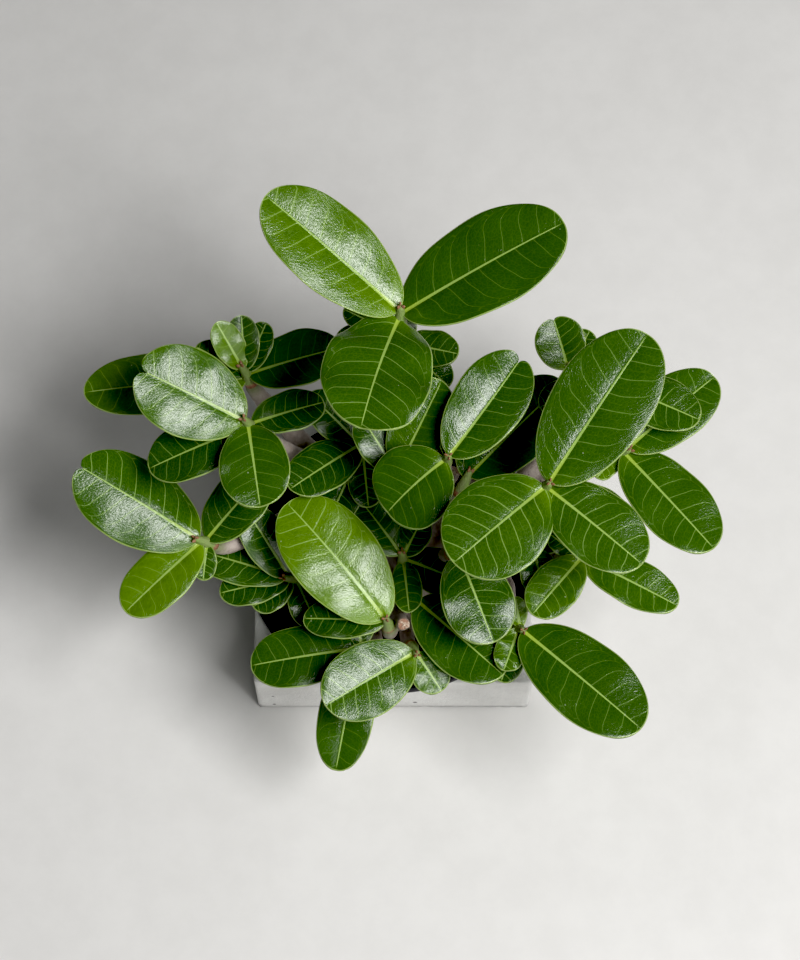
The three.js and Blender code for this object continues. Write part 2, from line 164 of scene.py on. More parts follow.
def join(bm: bmesh.types.BMesh, part: bmesh.types.BMesh) -> None:
    """Copies a finished part, with its layers, into a larger mesh, and frees it.

    Args:
        bm: the larger mesh, which has the same layers.
        part: the part.
    """
    scratch = bpy.data.meshes.new("scratch")
    part.to_mesh(scratch)
    part.free()
    bm.from_mesh(scratch)
    bpy.data.meshes.remove(scratch)


def turned(bm: bmesh.types.BMesh, profile: list[tuple[float, float]], steps: int) -> None:
    """Spins a profile of (radius, height) in millimetres round Z into a closed skin.

    Args:
        bm: receives the skin.
        profile: its points, from the axis back to the axis.
        steps: sides of the turned shape.
    """
    points = [bm.verts.new((r * MM, 0, z * MM)) for r, z in profile]
    edges = [bm.edges.new(pair) for pair in zip(points, points[1:])]
    bmesh.ops.spin(
        bm,
        geom=points + edges,
        cent=(0, 0, 0),
        axis=UP,
        angle=math.tau,
        steps=steps,
        use_merge=True,
        use_duplicate=False,
    )
    bmesh.ops.remove_doubles(bm, verts=bm.verts, dist=1e-6)
    bmesh.ops.recalc_face_normals(bm, faces=bm.faces)


# ---------------------------------------------------------------- shader helpers


class Graph:
    """A node tree with short calls for the nodes that the finishes use.

    A value is a number or a socket throughout, and a colour is three numbers or a socket.
    """

    def __init__(self, tree: bpy.types.NodeTree) -> None:
        """Keeps the tree."""
        self.tree = tree

    def set(self, socket: bpy.types.NodeSocket, value: object) -> None:
        """Links a socket, or gives it a plain value.

        Args:
            socket: an input.
            value: a socket to link, or a number, vector or colour.
        """
        if isinstance(value, bpy.types.NodeSocket):
            self.tree.links.new(value, socket)
        elif socket.type == "RGBA" and len(value) == 3:
            socket.default_value = (*value, 1.0)
        else:
            socket.default_value = value

    def fill(self, node: bpy.types.Node, **inputs: object) -> bpy.types.Node:
        """Sets a node's inputs.

        Args:
            node: the node.
            inputs: values by the sockets' names, with spaces as underscores.

        Returns:
            The same node.
        """
        for name, value in inputs.items():
            self.set(node.inputs[name.replace("_", " ")], value)
        return node

    def add(self, kind: str, **inputs: object) -> bpy.types.Node:
        """Adds a node by its type's name without ShaderNode, with its inputs by name."""
        return self.fill(self.tree.nodes.new("ShaderNode" + kind), **inputs)

    def math(self, operation: str, *values: object, clamp: bool = False) -> Socket:
        """Adds a Math node.

        Args:
            operation: the node's operation.
            values: its inputs, in order.
            clamp: whether the result is kept from 0 to 1.

        Returns:
            Its result.
        """
        node = self.add("Math")
        node.operation = operation
        node.use_clamp = clamp
        for socket, value in zip(node.inputs, values):
            self.set(socket, value)
        return node.outputs[0]

    def times(self, first: object, *others: object) -> Socket:
        """Multiplies values.

        Args:
            first: a value.
            others: its factors, in order.

        Returns:
            The product.
        """
        for other in others:
            first = self.math("MULTIPLY", first, other)
        return first

    def plus(self, base: object, value: object, gain: object, clamp: bool = False) -> Socket:
        """A base, and a value times a gain added to it."""
        return self.math("MULTIPLY_ADD", value, gain, base, clamp=clamp)

    def apart(self, first: object, second: object) -> Socket:
        """How far two values are from each other."""
        return self.math("ABSOLUTE", self.math("SUBTRACT", first, second))

    def mix(self, factor: object, first: object, second: object) -> Socket:
        """Blends two colours.

        Args:
            factor: 0 for the first colour and 1 for the second.
            first: a colour.
            second: a colour.

        Returns:
            The blend.
        """
        node = self.add("Mix")
        node.data_type = "RGBA"
        for index, value in ((0, factor), (6, first), (7, second)):
            self.set(node.inputs[index], value)
        return node.outputs[2]

    def step(self, value: object, low: float, high: float) -> Socket:
        """A soft step.

        Args:
            value: what it reads.
            low: where it is 0.
            high: where it is 1, which may be the lower of the two.

        Returns:
            The step's height.
        """
        node = self.add(
            "MapRange", Value=value, From_Min=min(low, high), From_Max=max(low, high),
            To_Min=float(low > high), To_Max=float(low <= high),
        )
        node.interpolation_type = "SMOOTHSTEP"
        return node.outputs["Result"]

    def scale(self, vector: object, factors: Point) -> Socket:
        """Multiplies a vector's parts.

        Args:
            vector: the vector.
            factors: one factor for each part.

        Returns:
            The new vector.
        """
        node = self.add("VectorMath")
        node.operation = "MULTIPLY"
        self.set(node.inputs[0], vector)
        self.set(node.inputs[1], factors)
        return node.outputs[0]

    def noise(
        self, vector: object, scale: object, detail: float = 2.0, roughness: float = 0.5
    ) -> Socket:
        """The height of a noise texture, whose scale is in bumps per unit of the vector."""
        inputs = {"Vector": vector, "Scale": scale, "Detail": detail, "Roughness": roughness}
        return self.add("TexNoise", **inputs).outputs[0]

    def cells(self, vector: object, scale: float, edges: bool = False) -> bpy.types.Node:
        """Adds a cell texture.

        Args:
            vector: its coordinates.
            scale: cells per unit of the vector.
            edges: whether Distance is measured to the cells' edges and not to their centres.

        Returns:
            The node.
        """
        node = self.add("TexVoronoi", Vector=vector, Scale=scale)
        if edges:
            node.feature = "DISTANCE_TO_EDGE"
        return node

    def dots(self, vector: object, scale: float, size: Span, share: Span, part: int) -> Socket:
        """Soft dots in some of the cells of a cell texture.

        Args:
            vector: its coordinates.
            scale: cells per unit of the vector.
            size: the distances from a cell's centre where a dot begins and where it is full.
            share: the step in a cell's random number that lets it have a dot.
            part: which of the cell's three random numbers is read.

        Returns:
            The dots' mask.
        """
        cells = self.cells(vector, scale)
        lucky = self.step(self.parts(cells.outputs["Color"])[part], *share)
        return self.times(self.step(cells.outputs["Distance"], *size), lucky)

    def ramp(self, value: object, stops: list[tuple[float, Colour]]) -> Socket:
        """A colour ramp.

        Args:
            value: what it reads.
            stops: the place and the colour of each stop.

        Returns:
            The colour.
        """
        node = self.add("ValToRGB")
        elements = node.color_ramp.elements
        while len(elements) < len(stops):
            elements.new(0.5)
        for element, (place, colour) in zip(elements, stops):
            element.position = place
            element.color = (*colour, 1.0)
        self.set(node.inputs[0], value)
        return node.outputs[0]

    def parts(self, vector: object) -> list[Socket]:
        """The three parts of a vector."""
        return list(self.add("SeparateXYZ", Vector=vector).outputs)

    def attribute(self, name: str, output: str = "Fac") -> Socket:
        """Reads an attribute of the mesh's points.

        Args:
            name: the attribute's name.
            output: Fac for a number and Vector for three.

        Returns:
            The attribute.
        """
        node = self.add("Attribute")
        node.attribute_name = name
        return node.outputs[output]

    def coordinates(self) -> Socket:
        """The object's own coordinates, in metres."""
        return self.add("TexCoord").outputs["Object"]

    def mottle(self, vector: object, scale: float) -> tuple[Socket, Socket]:
        """Adds the group of uneven tone.

        Args:
            vector: the place.
            scale: broad bumps per unit of the vector.

        Returns:
            The broad and the fine unevenness, each from 0 to 1.
        """
        node = self.add("Group")
        node.node_tree = mottle_group()
        self.fill(node, Vector=vector, Scale=scale)
        return node.outputs["Broad"], node.outputs["Fine"]

    def wear(
        self, colour: object, roughness: object, relief: object = 0.0, depth: float = 0.0,
        strength: float = 1.0, **more: float,
    ) -> None:
        """Wires the material's Principled shader.

        Args:
            colour: its base colour.
            roughness: its roughness.
            relief: the height that bends its normal.
            depth: the height's unit in metres, or 0 for a smooth surface.
            strength: how strongly the height bends the normal.
            more: other inputs by name, with spaces as underscores.
        """
        shader = next(n for n in self.tree.nodes if n.type == "BSDF_PRINCIPLED")
        self.fill(shader, Base_Color=colour, Roughness=roughness, **more)
        if depth:
            bump = self.add("Bump", Height=relief, Distance=depth, Strength=strength)
            self.fill(shader, Normal=bump.outputs[0])


def mottle_group() -> bpy.types.NodeTree:
    """The node group of uneven tone that every finish shares, built once.

    Returns:
        A group that turns a vector and a scale into a broad and a fine unevenness.
    """
    made = bpy.data.node_groups.get("mottle")
    if made:
        return made
    tree = bpy.data.node_groups.new("mottle", "ShaderNodeTree")
    for name, way, kind in (
        ("Vector", "INPUT", "Vector"), ("Scale", "INPUT", "Float"),
        ("Broad", "OUTPUT", "Float"), ("Fine", "OUTPUT", "Float"),
    ):
        tree.interface.new_socket(name, in_out=way, socket_type="NodeSocket" + kind)
    graph = Graph(tree)
    start = tree.nodes.new("NodeGroupInput").outputs
    end = tree.nodes.new("NodeGroupOutput")
    broad = graph.noise(start["Vector"], start["Scale"], 3.0, 0.55)
    fine = graph.noise(start["Vector"], graph.times(start["Scale"], 7.0), 4.0, 0.65)
    graph.fill(end, Broad=graph.step(broad, 0.3, 0.7), Fine=graph.step(fine, 0.3, 0.7))
    return tree


class Finish:
    """What every finish shares: a material with one Principled shader, dressed by its class.

    In the finishes, scales are bumps or cells per metre, depths are metres, and a mix's strength
    is a share from 0 to 1.
    """

    name = "finish"

    def material(self) -> bpy.types.Material:
        """The finish as a material, built once.

        Returns:
            The material.
        """
        made = bpy.data.materials.get(self.name)
        if made:
            return made
        material = bpy.data.materials.new(self.name)
        material.use_nodes = True
        self.dress(Graph(material.node_tree))
        return material

    def dress(self, graph: Graph) -> None:
        """Wires the look into the material's node tree."""
        raise NotImplementedError


# ---------------------------------------------------------------- finishes


@dataclass(frozen=True)
class CastCement(Finish):
    """Pale grey cast cement with faint clouds, with painted shade in its pinholes and painted
    contact shade darkening its foot.
    """

    name = "cast_cement"
    pale: Colour = (0.76, 0.755, 0.73)
    grey: Colour = (0.64, 0.635, 0.61)
    # the dark of the painted shade in the pinholes and of the painted contact shade at the foot
    painted_shade: Colour = (0.10, 0.095, 0.09)
    # how high the painted contact shade reaches up from the floor
    foot_shade_height: float = 5.0
    cloud_scale: float = 45.0
    hole_scale: float = 210.0
    hole_reach: float = 0.24
    grain_scale: float = 1400.0
    depth: float = 0.00025
    strength: float = 0.8

    def dress(self, graph: Graph) -> None:
        """Clouds in the colour, with painted shade in the pinholes and painted contact shade at the
        foot; grain and pinholes in the relief.

        Args:
            graph: the material's node tree.
        """
        place = graph.coordinates()
        broad, fine = graph.mottle(place, self.cloud_scale)
        holes = graph.cells(place, self.hole_scale)
        size = graph.parts(holes.outputs["Color"])[0]
        reach = graph.times(graph.step(size, 0.8, 1.0), self.hole_reach)
        pinhole = graph.step(graph.math("SUBTRACT", reach, holes.outputs["Distance"]), 0.0, 0.08)
        # foot is the mask of the painted contact shade: 1 at the floor, fading to 0 a few mm up
        foot = graph.step(graph.parts(place)[2], self.foot_shade_height * MM, 0.0)
        colour = graph.mix(broad, self.grey, self.pale)
        colour = graph.mix(graph.times(fine, 0.25), colour, self.grey)
        # painted shade: each pinhole is darkened as if shade lay inside it
        colour = graph.mix(graph.times(pinhole, 0.8), colour, self.painted_shade)
        # painted contact shade: the cement is darker where it meets the floor
        colour = graph.mix(graph.times(foot, graph.plus(0.2, broad, 0.35)), colour, self.painted_shade)
        relief = graph.plus(graph.noise(place, self.grain_scale, 4.0, 0.7), pinhole, -2.0)
        relief = graph.plus(relief, fine, 0.8)
        graph.wear(colour, graph.plus(0.72, fine, 0.15), relief, self.depth, self.strength)


@dataclass(frozen=True)
class BlackPlastic(Finish):
    """Satin black moulded plastic with a little dust and an orange-peel skin."""

    name = "black_plastic"
    black: Colour = (0.012, 0.0135, 0.016)
    dust: Colour = (0.075, 0.075, 0.08)
    cloud_scale: float = 90.0
    skin_scale: float = 1600.0
    depth: float = 0.00006

    def dress(self, graph: Graph) -> None:
        """Dust in the colour, the skin in the relief.

        Args:
            graph: the material's node tree.
        """
        place = graph.coordinates()
        broad, fine = graph.mottle(place, self.cloud_scale)
        colour = graph.mix(graph.times(broad, fine, 0.35), self.black, self.dust)
        skin = graph.noise(place, self.skin_scale)
        graph.wear(colour, graph.plus(0.34, broad, 0.18), skin, self.depth)


@dataclass(frozen=True)
class DarkSoil(Finish):
    """Dark granular mix. The attribute grain is 0 for the darkest crumbs and 1 for pale ones."""

    name = "dark_soil"
    dark: Colour = (0.006, 0.0055, 0.006)
    brown: Colour = (0.035, 0.026, 0.022)
    ash: Colour = (0.085, 0.080, 0.085)
    pale: Colour = (0.55, 0.54, 0.50)
    cloud_scale: float = 260.0
    grit_scale: float = 2600.0
    roughness: float = 0.92
    depth: float = 0.0004

    def dress(self, graph: Graph) -> None:
        """Crumb colours by their attribute, with a rough broken surface.

        Args:
            graph: the material's node tree.
        """
        place = graph.coordinates()
        broad, fine = graph.mottle(place, self.cloud_scale)
        stops = [(0.0, self.dark), (0.55, self.brown), (0.88, self.ash), (0.95, self.pale)]
        colour = graph.ramp(graph.attribute("grain"), stops)
        colour = graph.mix(graph.times(broad, fine, 0.6), colour, self.dark)
        relief = graph.math("ADD", fine, graph.noise(place, self.grit_scale, 3.0, 0.7))
        graph.wear(colour, self.roughness, relief, self.depth)


@dataclass(frozen=True)
class SmoothBark(Finish):
    """Grey-pink bark with lens-shaped pores, green where it is young and brown where it was cut.

    The attribute bark holds youth, the cut face and a shade of its own in its three parts.
    """

    name = "smooth_bark"
    grey: Colour = (0.47, 0.41, 0.35)
    dusk: Colour = (0.23, 0.185, 0.165)
    green: Colour = (0.13, 0.17, 0.05)
    heart: Colour = (0.36, 0.19, 0.12)
    ring: Colour = (0.62, 0.50, 0.38)
    cloud_scale: float = 70.0
    flatten: float = 2.4
    crease_scale: float = 520.0
    pore_scale: float = 330.0
    pore_size: Span = (0.2, 0.08)
    pore_share: Span = (0.55, 0.75)
    depth: float = 0.0004

    def dress(self, graph: Graph) -> None:
        """Clouds, pores and scars in the colour, wrinkles across the limbs in the relief.

        Args:
            graph: the material's node tree.
        """
        place = graph.coordinates()
        youth, cut, shade = graph.parts(graph.attribute("bark", "Vector"))
        broad, fine = graph.mottle(place, self.cloud_scale)
        flat = graph.scale(place, (1.0, 1.0, self.flatten))
        creases = graph.noise(flat, self.crease_scale, 4.0, 0.65)
        pore = graph.dots(flat, self.pore_scale, self.pore_size, self.pore_share, 1)
        dark = graph.plus(graph.times(broad, 0.45), fine, 0.35)
        dark = graph.math("ADD", dark, graph.times(shade, 0.5), clamp=True)
        wood = graph.mix(graph.step(fine, 0.3, 0.8), self.heart, self.ring)
        colour = graph.mix(dark, self.grey, self.dusk)
        colour = graph.mix(graph.times(pore, 0.55), colour, self.dusk)
        colour = graph.mix(graph.times(youth, 0.85), colour, self.green)
        colour = graph.mix(cut, colour, wood)
        relief = graph.plus(creases, pore, 0.8)
        relief = graph.plus(relief, cut, graph.times(fine, 2.0))
        graph.wear(colour, graph.plus(0.45, creases, 0.3), relief, self.depth)


@dataclass(frozen=True)
class GreenShoot(Finish):
    """A young shoot tip: yellow-green where leaves leave it, pink-brown at its bud and foot.

    The attribute shoot is 0 on green skin and 1 on brown scales.
    """

    name = "green_shoot"
    green: Colour = (0.20, 0.30, 0.07)
    scale: Colour = (0.28, 0.13, 0.075)
    bark: Colour = (0.22, 0.19, 0.13)
    cloud_scale: float = 220.0
    depth: float = 0.00015

    def dress(self, graph: Graph) -> None:
        """Green and brown by the attribute, broken up by noise.

        Args:
            graph: the material's node tree.
        """
        broad, fine = graph.mottle(graph.coordinates(), self.cloud_scale)
        colour = graph.mix(graph.times(broad, 0.4), self.green, self.bark)
        edge = graph.plus(graph.math("SUBTRACT", graph.attribute("shoot"), 0.25), fine, 0.5)
        colour = graph.mix(graph.step(edge, 0.25, 0.75), colour, self.scale)
        graph.wear(colour, graph.plus(0.4, fine, 0.2), fine, self.depth)


class LeafPoint:
    """What the points of a blade tell the leaf finish, as sockets.

    The attribute blade holds the place along the blade, the place across it and the half width
    in mm. vein holds the side veins' count so far, their spacing in mm and the distance to the
    margin in mm. trait holds the tone, how pale the veins are and a random number. under is 1 on
    the underside. outward is the place across without its sign.
    """

    def __init__(self, graph: Graph) -> None:
        """Reads the attributes.

        Args:
            graph: the material's node tree.
        """
        self.along, self.across, self.half = graph.parts(graph.attribute("blade", "Vector"))
        self.count, self.spacing, self.margin = graph.parts(graph.attribute("vein", "Vector"))
        self.tone, self.pale, self.chance = graph.parts(graph.attribute("trait", "Vector"))
        self.under = graph.attribute("under")
        self.outward = graph.math("ABSOLUTE", self.across)


@dataclass(frozen=True)
class LeafFinish(Finish):
    """A leathery glossy blade with a pale midrib, side veins, a pale rim that is partly a painted
    highlight, and a matt underside.
    """

    name = "leaf_blade"
    deep: Colour = (0.013, 0.047, 0.0006)
    mature: Colour = (0.033, 0.092, 0.0015)
    young: Colour = (0.125, 0.230, 0.004)
    vein: Colour = (0.25, 0.38, 0.10)
    rib: Colour = (0.29, 0.43, 0.10)
    rib_base: Colour = (0.34, 0.47, 0.06)
    # the margin's own pale colour, made paler still to paint the highlight that the rounded edge
    # catches
    rim: Colour = (0.38, 0.50, 0.15)
    back: Colour = (0.08, 0.15, 0.03)
    speck: Colour = (0.45, 0.52, 0.38)
    cloud_scale: float = 110.0
    speck_scale: float = 420.0
    speck_size: Span = (0.16, 0.08)
    speck_share: Span = (0.955, 0.975)
    pebble_scale: float = 1500.0
    wrinkle_scale: float = 1.25
    net_width: Span = (0.10, 0.02)
    rim_and_glint_width: Span = (0.55, 0.15)
    gloss: float = 0.12
    specular: float = 0.42
    coat: float = 0.15
    coat_roughness: float = 0.22
    depth: float = 0.00007

    def dress(self, graph: Graph) -> None:
        """Builds the masks of the blade's own drawing and of its rim, which is partly painted
        highlight, then its colours, gloss and relief.

        Args:
            graph: the material's node tree.
        """
        place, at = graph.coordinates(), LeafPoint(graph)
        rib = self.midrib(graph, at)
        side, halo = self.side_veins(graph, at)
        drawn = self.own_plane(graph, at)
        mesh = graph.cells(drawn, 1.0, edges=True).outputs["Distance"]
        net = graph.step(mesh, *self.net_width)
        rim = graph.step(at.margin, *self.rim_and_glint_width)
        speck = graph.dots(place, self.speck_scale, self.speck_size, self.speck_share, 0)

        colour = self.green(graph, at, place, halo)
        rib_colour = graph.mix(graph.step(at.along, 0.0, 0.3), self.rib_base, self.rib)
        for mask, share, tint in (
            (net, graph.times(at.pale, 0.12), self.vein),
            (side, graph.plus(-0.30, at.pale, 1.2), self.vein),
            (rib, 0.92, rib_colour),
            # the pale rim: partly the margin's own tone, partly a painted highlight along it
            (rim, 0.65, self.rim),
            (at.under, 0.75, self.back),
            (speck, 0.5, self.speck),
        ):
            colour = graph.mix(graph.times(mask, share), colour, tint)

        wrinkle = graph.noise(drawn, self.wrinkle_scale, 3.0, 0.6)
        pebble = graph.noise(place, self.pebble_scale, 2.0, 0.6)
        gloss = graph.plus(graph.plus(self.gloss, wrinkle, 0.16), at.under, 0.30)
        gloss = graph.plus(gloss, rib, 0.10, clamp=True)
        cushion = graph.step(mesh, 0.0, 0.4)
        relief = graph.times(wrinkle, 1.8)
        for mask, height in ((cushion, 0.55), (pebble, 0.9), (side, -0.25), (rib, 0.8)):
            relief = graph.plus(relief, mask, height)
        graph.wear(
            colour, gloss, relief, self.depth, Specular_IOR_Level=self.specular,
            Coat_Weight=self.coat, Coat_Roughness=self.coat_roughness,
        )

    @staticmethod
    def midrib(graph: Graph, at: LeafPoint) -> Socket:
        """The midrib: a band that narrows from the base to the tip.

        Args:
            graph: the material's node tree.
            at: the blade's attributes.

        Returns:
            The midrib's mask.
        """
        width = graph.plus(0.92, graph.math("POWER", at.along, 0.6), -0.70)
        ratio = graph.math("DIVIDE", graph.times(at.outward, at.half), width)
        return graph.times(graph.step(ratio, 1.15, 0.55), graph.step(at.along, 1.0, 0.93))

    @staticmethod
    def side_veins(graph: Graph, at: LeafPoint) -> tuple[Socket, Socket]:
        """The side veins, with thin ones between them and arcs near the margin that join them.

        Args:
            graph: the material's node tree.
            at: the blade's attributes.

        Returns:
            The veins' mask and the soft halo along them.
        """
        right = graph.math("GREATER_THAN", at.across, 0.0)
        phase = graph.math("FRACT", graph.plus(at.count, right, SIDE_SHIFT))
        beside = graph.apart(phase, 0.5)
        off = graph.times(beside, at.spacing)
        ratio = graph.math("DIVIDE", off, graph.plus(0.24, at.outward, -0.10))
        line = graph.times(graph.step(ratio, 1.25, 0.35), graph.step(at.outward, 0.97, 0.72))
        between = graph.math("SUBTRACT", graph.times(at.spacing, 0.5), off)
        thin = graph.times(graph.step(between, 0.22, 0.05), graph.step(at.outward, 0.7, 0.3))
        from_arc = graph.times(graph.apart(at.outward, graph.plus(0.83, beside, 0.13)), at.half)
        arc = graph.step(from_arc, 0.26, 0.04)
        line = graph.math("MAXIMUM", line, graph.times(thin, 0.15))
        line = graph.math("MAXIMUM", line, graph.times(arc, 0.4))
        halo = graph.times(graph.step(off, 1.5, 0.0), graph.step(at.outward, 1.0, 0.5))
        return line, halo

    @staticmethod
    def own_plane(graph: Graph, at: LeafPoint) -> Socket:
        """Coordinates in the blade's own plane, stretched along its side veins.

        Args:
            graph: the material's node tree.
            at: the blade's attributes.

        Returns:
            The coordinates, which are far apart for any two blades.
        """
        lengthways = graph.times(at.count, 5.6)
        sideways = graph.times(at.across, at.half, 0.62)
        layer = graph.times(at.chance, 40.0)
        return graph.add("CombineXYZ", X=lengthways, Y=sideways, Z=layer).outputs[0]

    def green(self, graph: Graph, at: LeafPoint, place: Socket, halo: Socket) -> Socket:
        """The blade's green before its veins: by tone, with clouds, lighter beside the veins.

        Args:
            graph: the material's node tree.
            at: the blade's attributes.
            place: the object's own coordinates.
            halo: the halo along the side veins.

        Returns:
            The colour.
        """
        broad, fine = graph.mottle(place, self.cloud_scale)
        level = graph.plus(at.tone, graph.math("SUBTRACT", broad, 0.5), 0.10)
        level = graph.plus(level, graph.math("SUBTRACT", fine, 0.5), 0.07)
        level = graph.plus(level, halo, 0.06)
        level = graph.plus(level, graph.step(at.pale, 0.6, 1.0), 0.05)
        level = graph.plus(level, graph.step(at.along, 0.22, 0.0), 0.22, clamp=True)
        return graph.ramp(level, [(0.0, self.deep), (0.5, self.mature), (1.0, self.young)])


@dataclass(frozen=True)
class PaleFloor(Finish):
    """A plain pale floor, barely uneven and matt."""

    name = "pale_floor"
    light: Colour = (0.70, 0.69, 0.67)
    dim: Colour = (0.64, 0.63, 0.61)
    cloud_scale: float = 9.0
    roughness: float = 0.85

    def dress(self, graph: Graph) -> None:
        """Faint clouds in the colour.

        Args:
            graph: the material's node tree.
        """
        broad, fine = graph.mottle(graph.coordinates(), self.cloud_scale)
        clouds = graph.plus(graph.times(broad, 0.5), fine, 0.4)
        graph.wear(graph.mix(clouds, self.light, self.dim), self.roughness)


# ---------------------------------------------------------------- pots and soil


@dataclass
class SquarePlanter:
    """The low square planter, cast in cement, with a round well and worn outer edges."""

    side: float = 120
    height: float = 37
    floor: float = 6
    well_radius: float = 57
    edge: float = 0.8
    corner: float = 2
    middle: float = 4
    per_side: int = 76
    arc_steps: int = 4
    side_rows: int = 24
    chip_size: float = 3.4
    chip_depth: float = 2.6
    chip_rarity: float = 0.28
    swell_size: float = 14
    swell_depth: float = 0.10
    finish: Finish = CastCement()

    def square(self, half: float, z: float) -> Place:
        """A square loop with rounded corners, as a function of the loop's point number."""
        return lambda k: self.on_square(k, half, z)

    def on_square(self, k: int, half: float, z: float) -> Vector:
        """A point of a square loop, which has straight runs and an arc at each corner.

        Args:
            k: the point's number.
            half: half the square's side.
            z: the loop's height.

        Returns:
            The point.
        """
        quarter, i = divmod(k, self.per_side)
        run = self.per_side - self.arc_steps
        straight = half - self.corner
        if i < run:
            x, y = half, -straight + 2 * straight * i / run
        else:
            turn = (i - run) / self.arc_steps * math.pi / 2
            x = straight + self.corner * math.cos(turn)
            y = straight + self.corner * math.sin(turn)
        return Matrix.Rotation(quarter * math.pi / 2, 3, "Z") @ Vector((x, y, z))

    def round(self, radius: float, z: float) -> Place:
        """A round loop, whose points lie at the square loop's headings."""
        up, half = Vector((0, 0, z)), self.side / 2
        return lambda k: self.on_square(k, half, 0).normalized() * radius + up

    @staticmethod
    def between(first: Place, second: Place, share: float) -> Place:
        """A loop at a share of the way from one loop to another."""
        return lambda k: first(k).lerp(second(k), share)

    def loops(self) -> list[Place]:
        """The planter's skin as loops.

        Returns:
            The loops, from the middle of the well's floor to the middle of the underside.
        """
        half, top, edge, well = self.side / 2, self.height, self.edge, self.well_radius
        inner, outer = self.round(well + 0.5, top), self.square(half - edge, top)
        loops = [self.round(r, self.floor) for r in (self.middle, 20, 40, well)]
        loops += [self.round(well, z) for z in (14, 22, 30, top - 0.5)]
        loops += [self.between(inner, outer, s) for s in (0, 0.12, 0.3, 0.5, 0.7, 0.88, 1)]
        for turn in (math.pi / 6, math.pi / 3, math.pi / 2):
            reach = half - edge + edge * math.sin(turn)
            loops.append(self.square(reach, top - edge + edge * math.cos(turn)))
        for row in range(1, self.side_rows):
            share = row / self.side_rows
            loops.append(self.square(half, top - edge - (top - 2 * edge) * share))
        for turn in (0, math.pi / 4, math.pi / 2):
            reach = half - edge + edge * math.cos(turn)
            loops.append(self.square(reach, edge - edge * math.sin(turn)))
        loops += [self.square(half * share, 0) for share in (0.75, 0.4)]
        return [*loops, self.round(self.middle, 0)]

    def worn(self, place: Vector) -> Vector:
        """A point of the skin after casting and wear, which move it inwards only.

        Args:
            place: the point on the plain skin.

        Returns:
            The point on the uneven skin.
        """
        half = self.side / 2
        near_side = half - max(abs(place.x), abs(place.y))
        near_corner = half - min(abs(place.x), abs(place.y))
        near_rim = min(self.height - place.z, place.z)
        if near_side > 0.3 and near_rim > 0.3:
            return place
        at_edge = max(smoothstep(near_rim, 2.0, 0.2), smoothstep(near_corner, 3.5, 0.4))
        sharp = smoothstep(near_side, 2.2, 0.2) * at_edge
        chip = max(0.0, ripple(place, self.chip_size, 2) - self.chip_rarity) * self.chip_depth
        swell = self.swell_depth * (0.5 + 0.5 * ripple(place, self.swell_size, 1))
        inward = (Vector((0, 0, self.height / 2)) - place).normalized()
        return place + inward * (chip * sharp + swell)

    def build(self) -> bpy.types.Object:
        """Builds the planter as extruded loops and wears its edges.

        Returns:
            The piece.
        """
        bm = bmesh.new()
        number = bm.verts.layers.int.new("number")
        first, *others = self.loops()
        ring = bmesh.ops.create_circle(bm, cap_ends=False, radius=1, segments=4 * self.per_side)
        for k, vert in enumerate(ring["verts"]):
            vert[number] = k
            vert.co = first(k) * MM
        edges = list(bm.edges)
        bmesh.ops.contextual_create(bm, geom=edges)
        for loop in others:
            edges = self.next_loop(bm, edges, loop, number)
        bmesh.ops.contextual_create(bm, geom=edges)
        for vert in bm.verts:
            vert.co = self.worn(vert.co / MM) * MM
        bmesh.ops.recalc_face_normals(bm, faces=bm.faces)
        piece = finished("planter_casting", bm, self.finish.material())
        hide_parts("square_pot")
        return piece

    @staticmethod
    def next_loop(bm: bmesh.types.BMesh, edges: list, place: Place, number: object) -> list:
        """Extrudes a loop of edges and moves the new points to their places on the next loop.

        Args:
            bm: the mesh.
            edges: the loop's edges.
            place: the next loop's point for each point number.
            number: the layer that holds the point numbers.

        Returns:
            The new loop's edges.
        """
        made = bmesh.ops.extrude_edge_only(bm, edges=edges)["geom"]
        verts = {e for e in made if isinstance(e, bmesh.types.BMVert)}
        for vert in verts:
            vert.co = place(vert[number]) * MM
        return [e for e in made if isinstance(e, bmesh.types.BMEdge) and set(e.verts) <= verts]


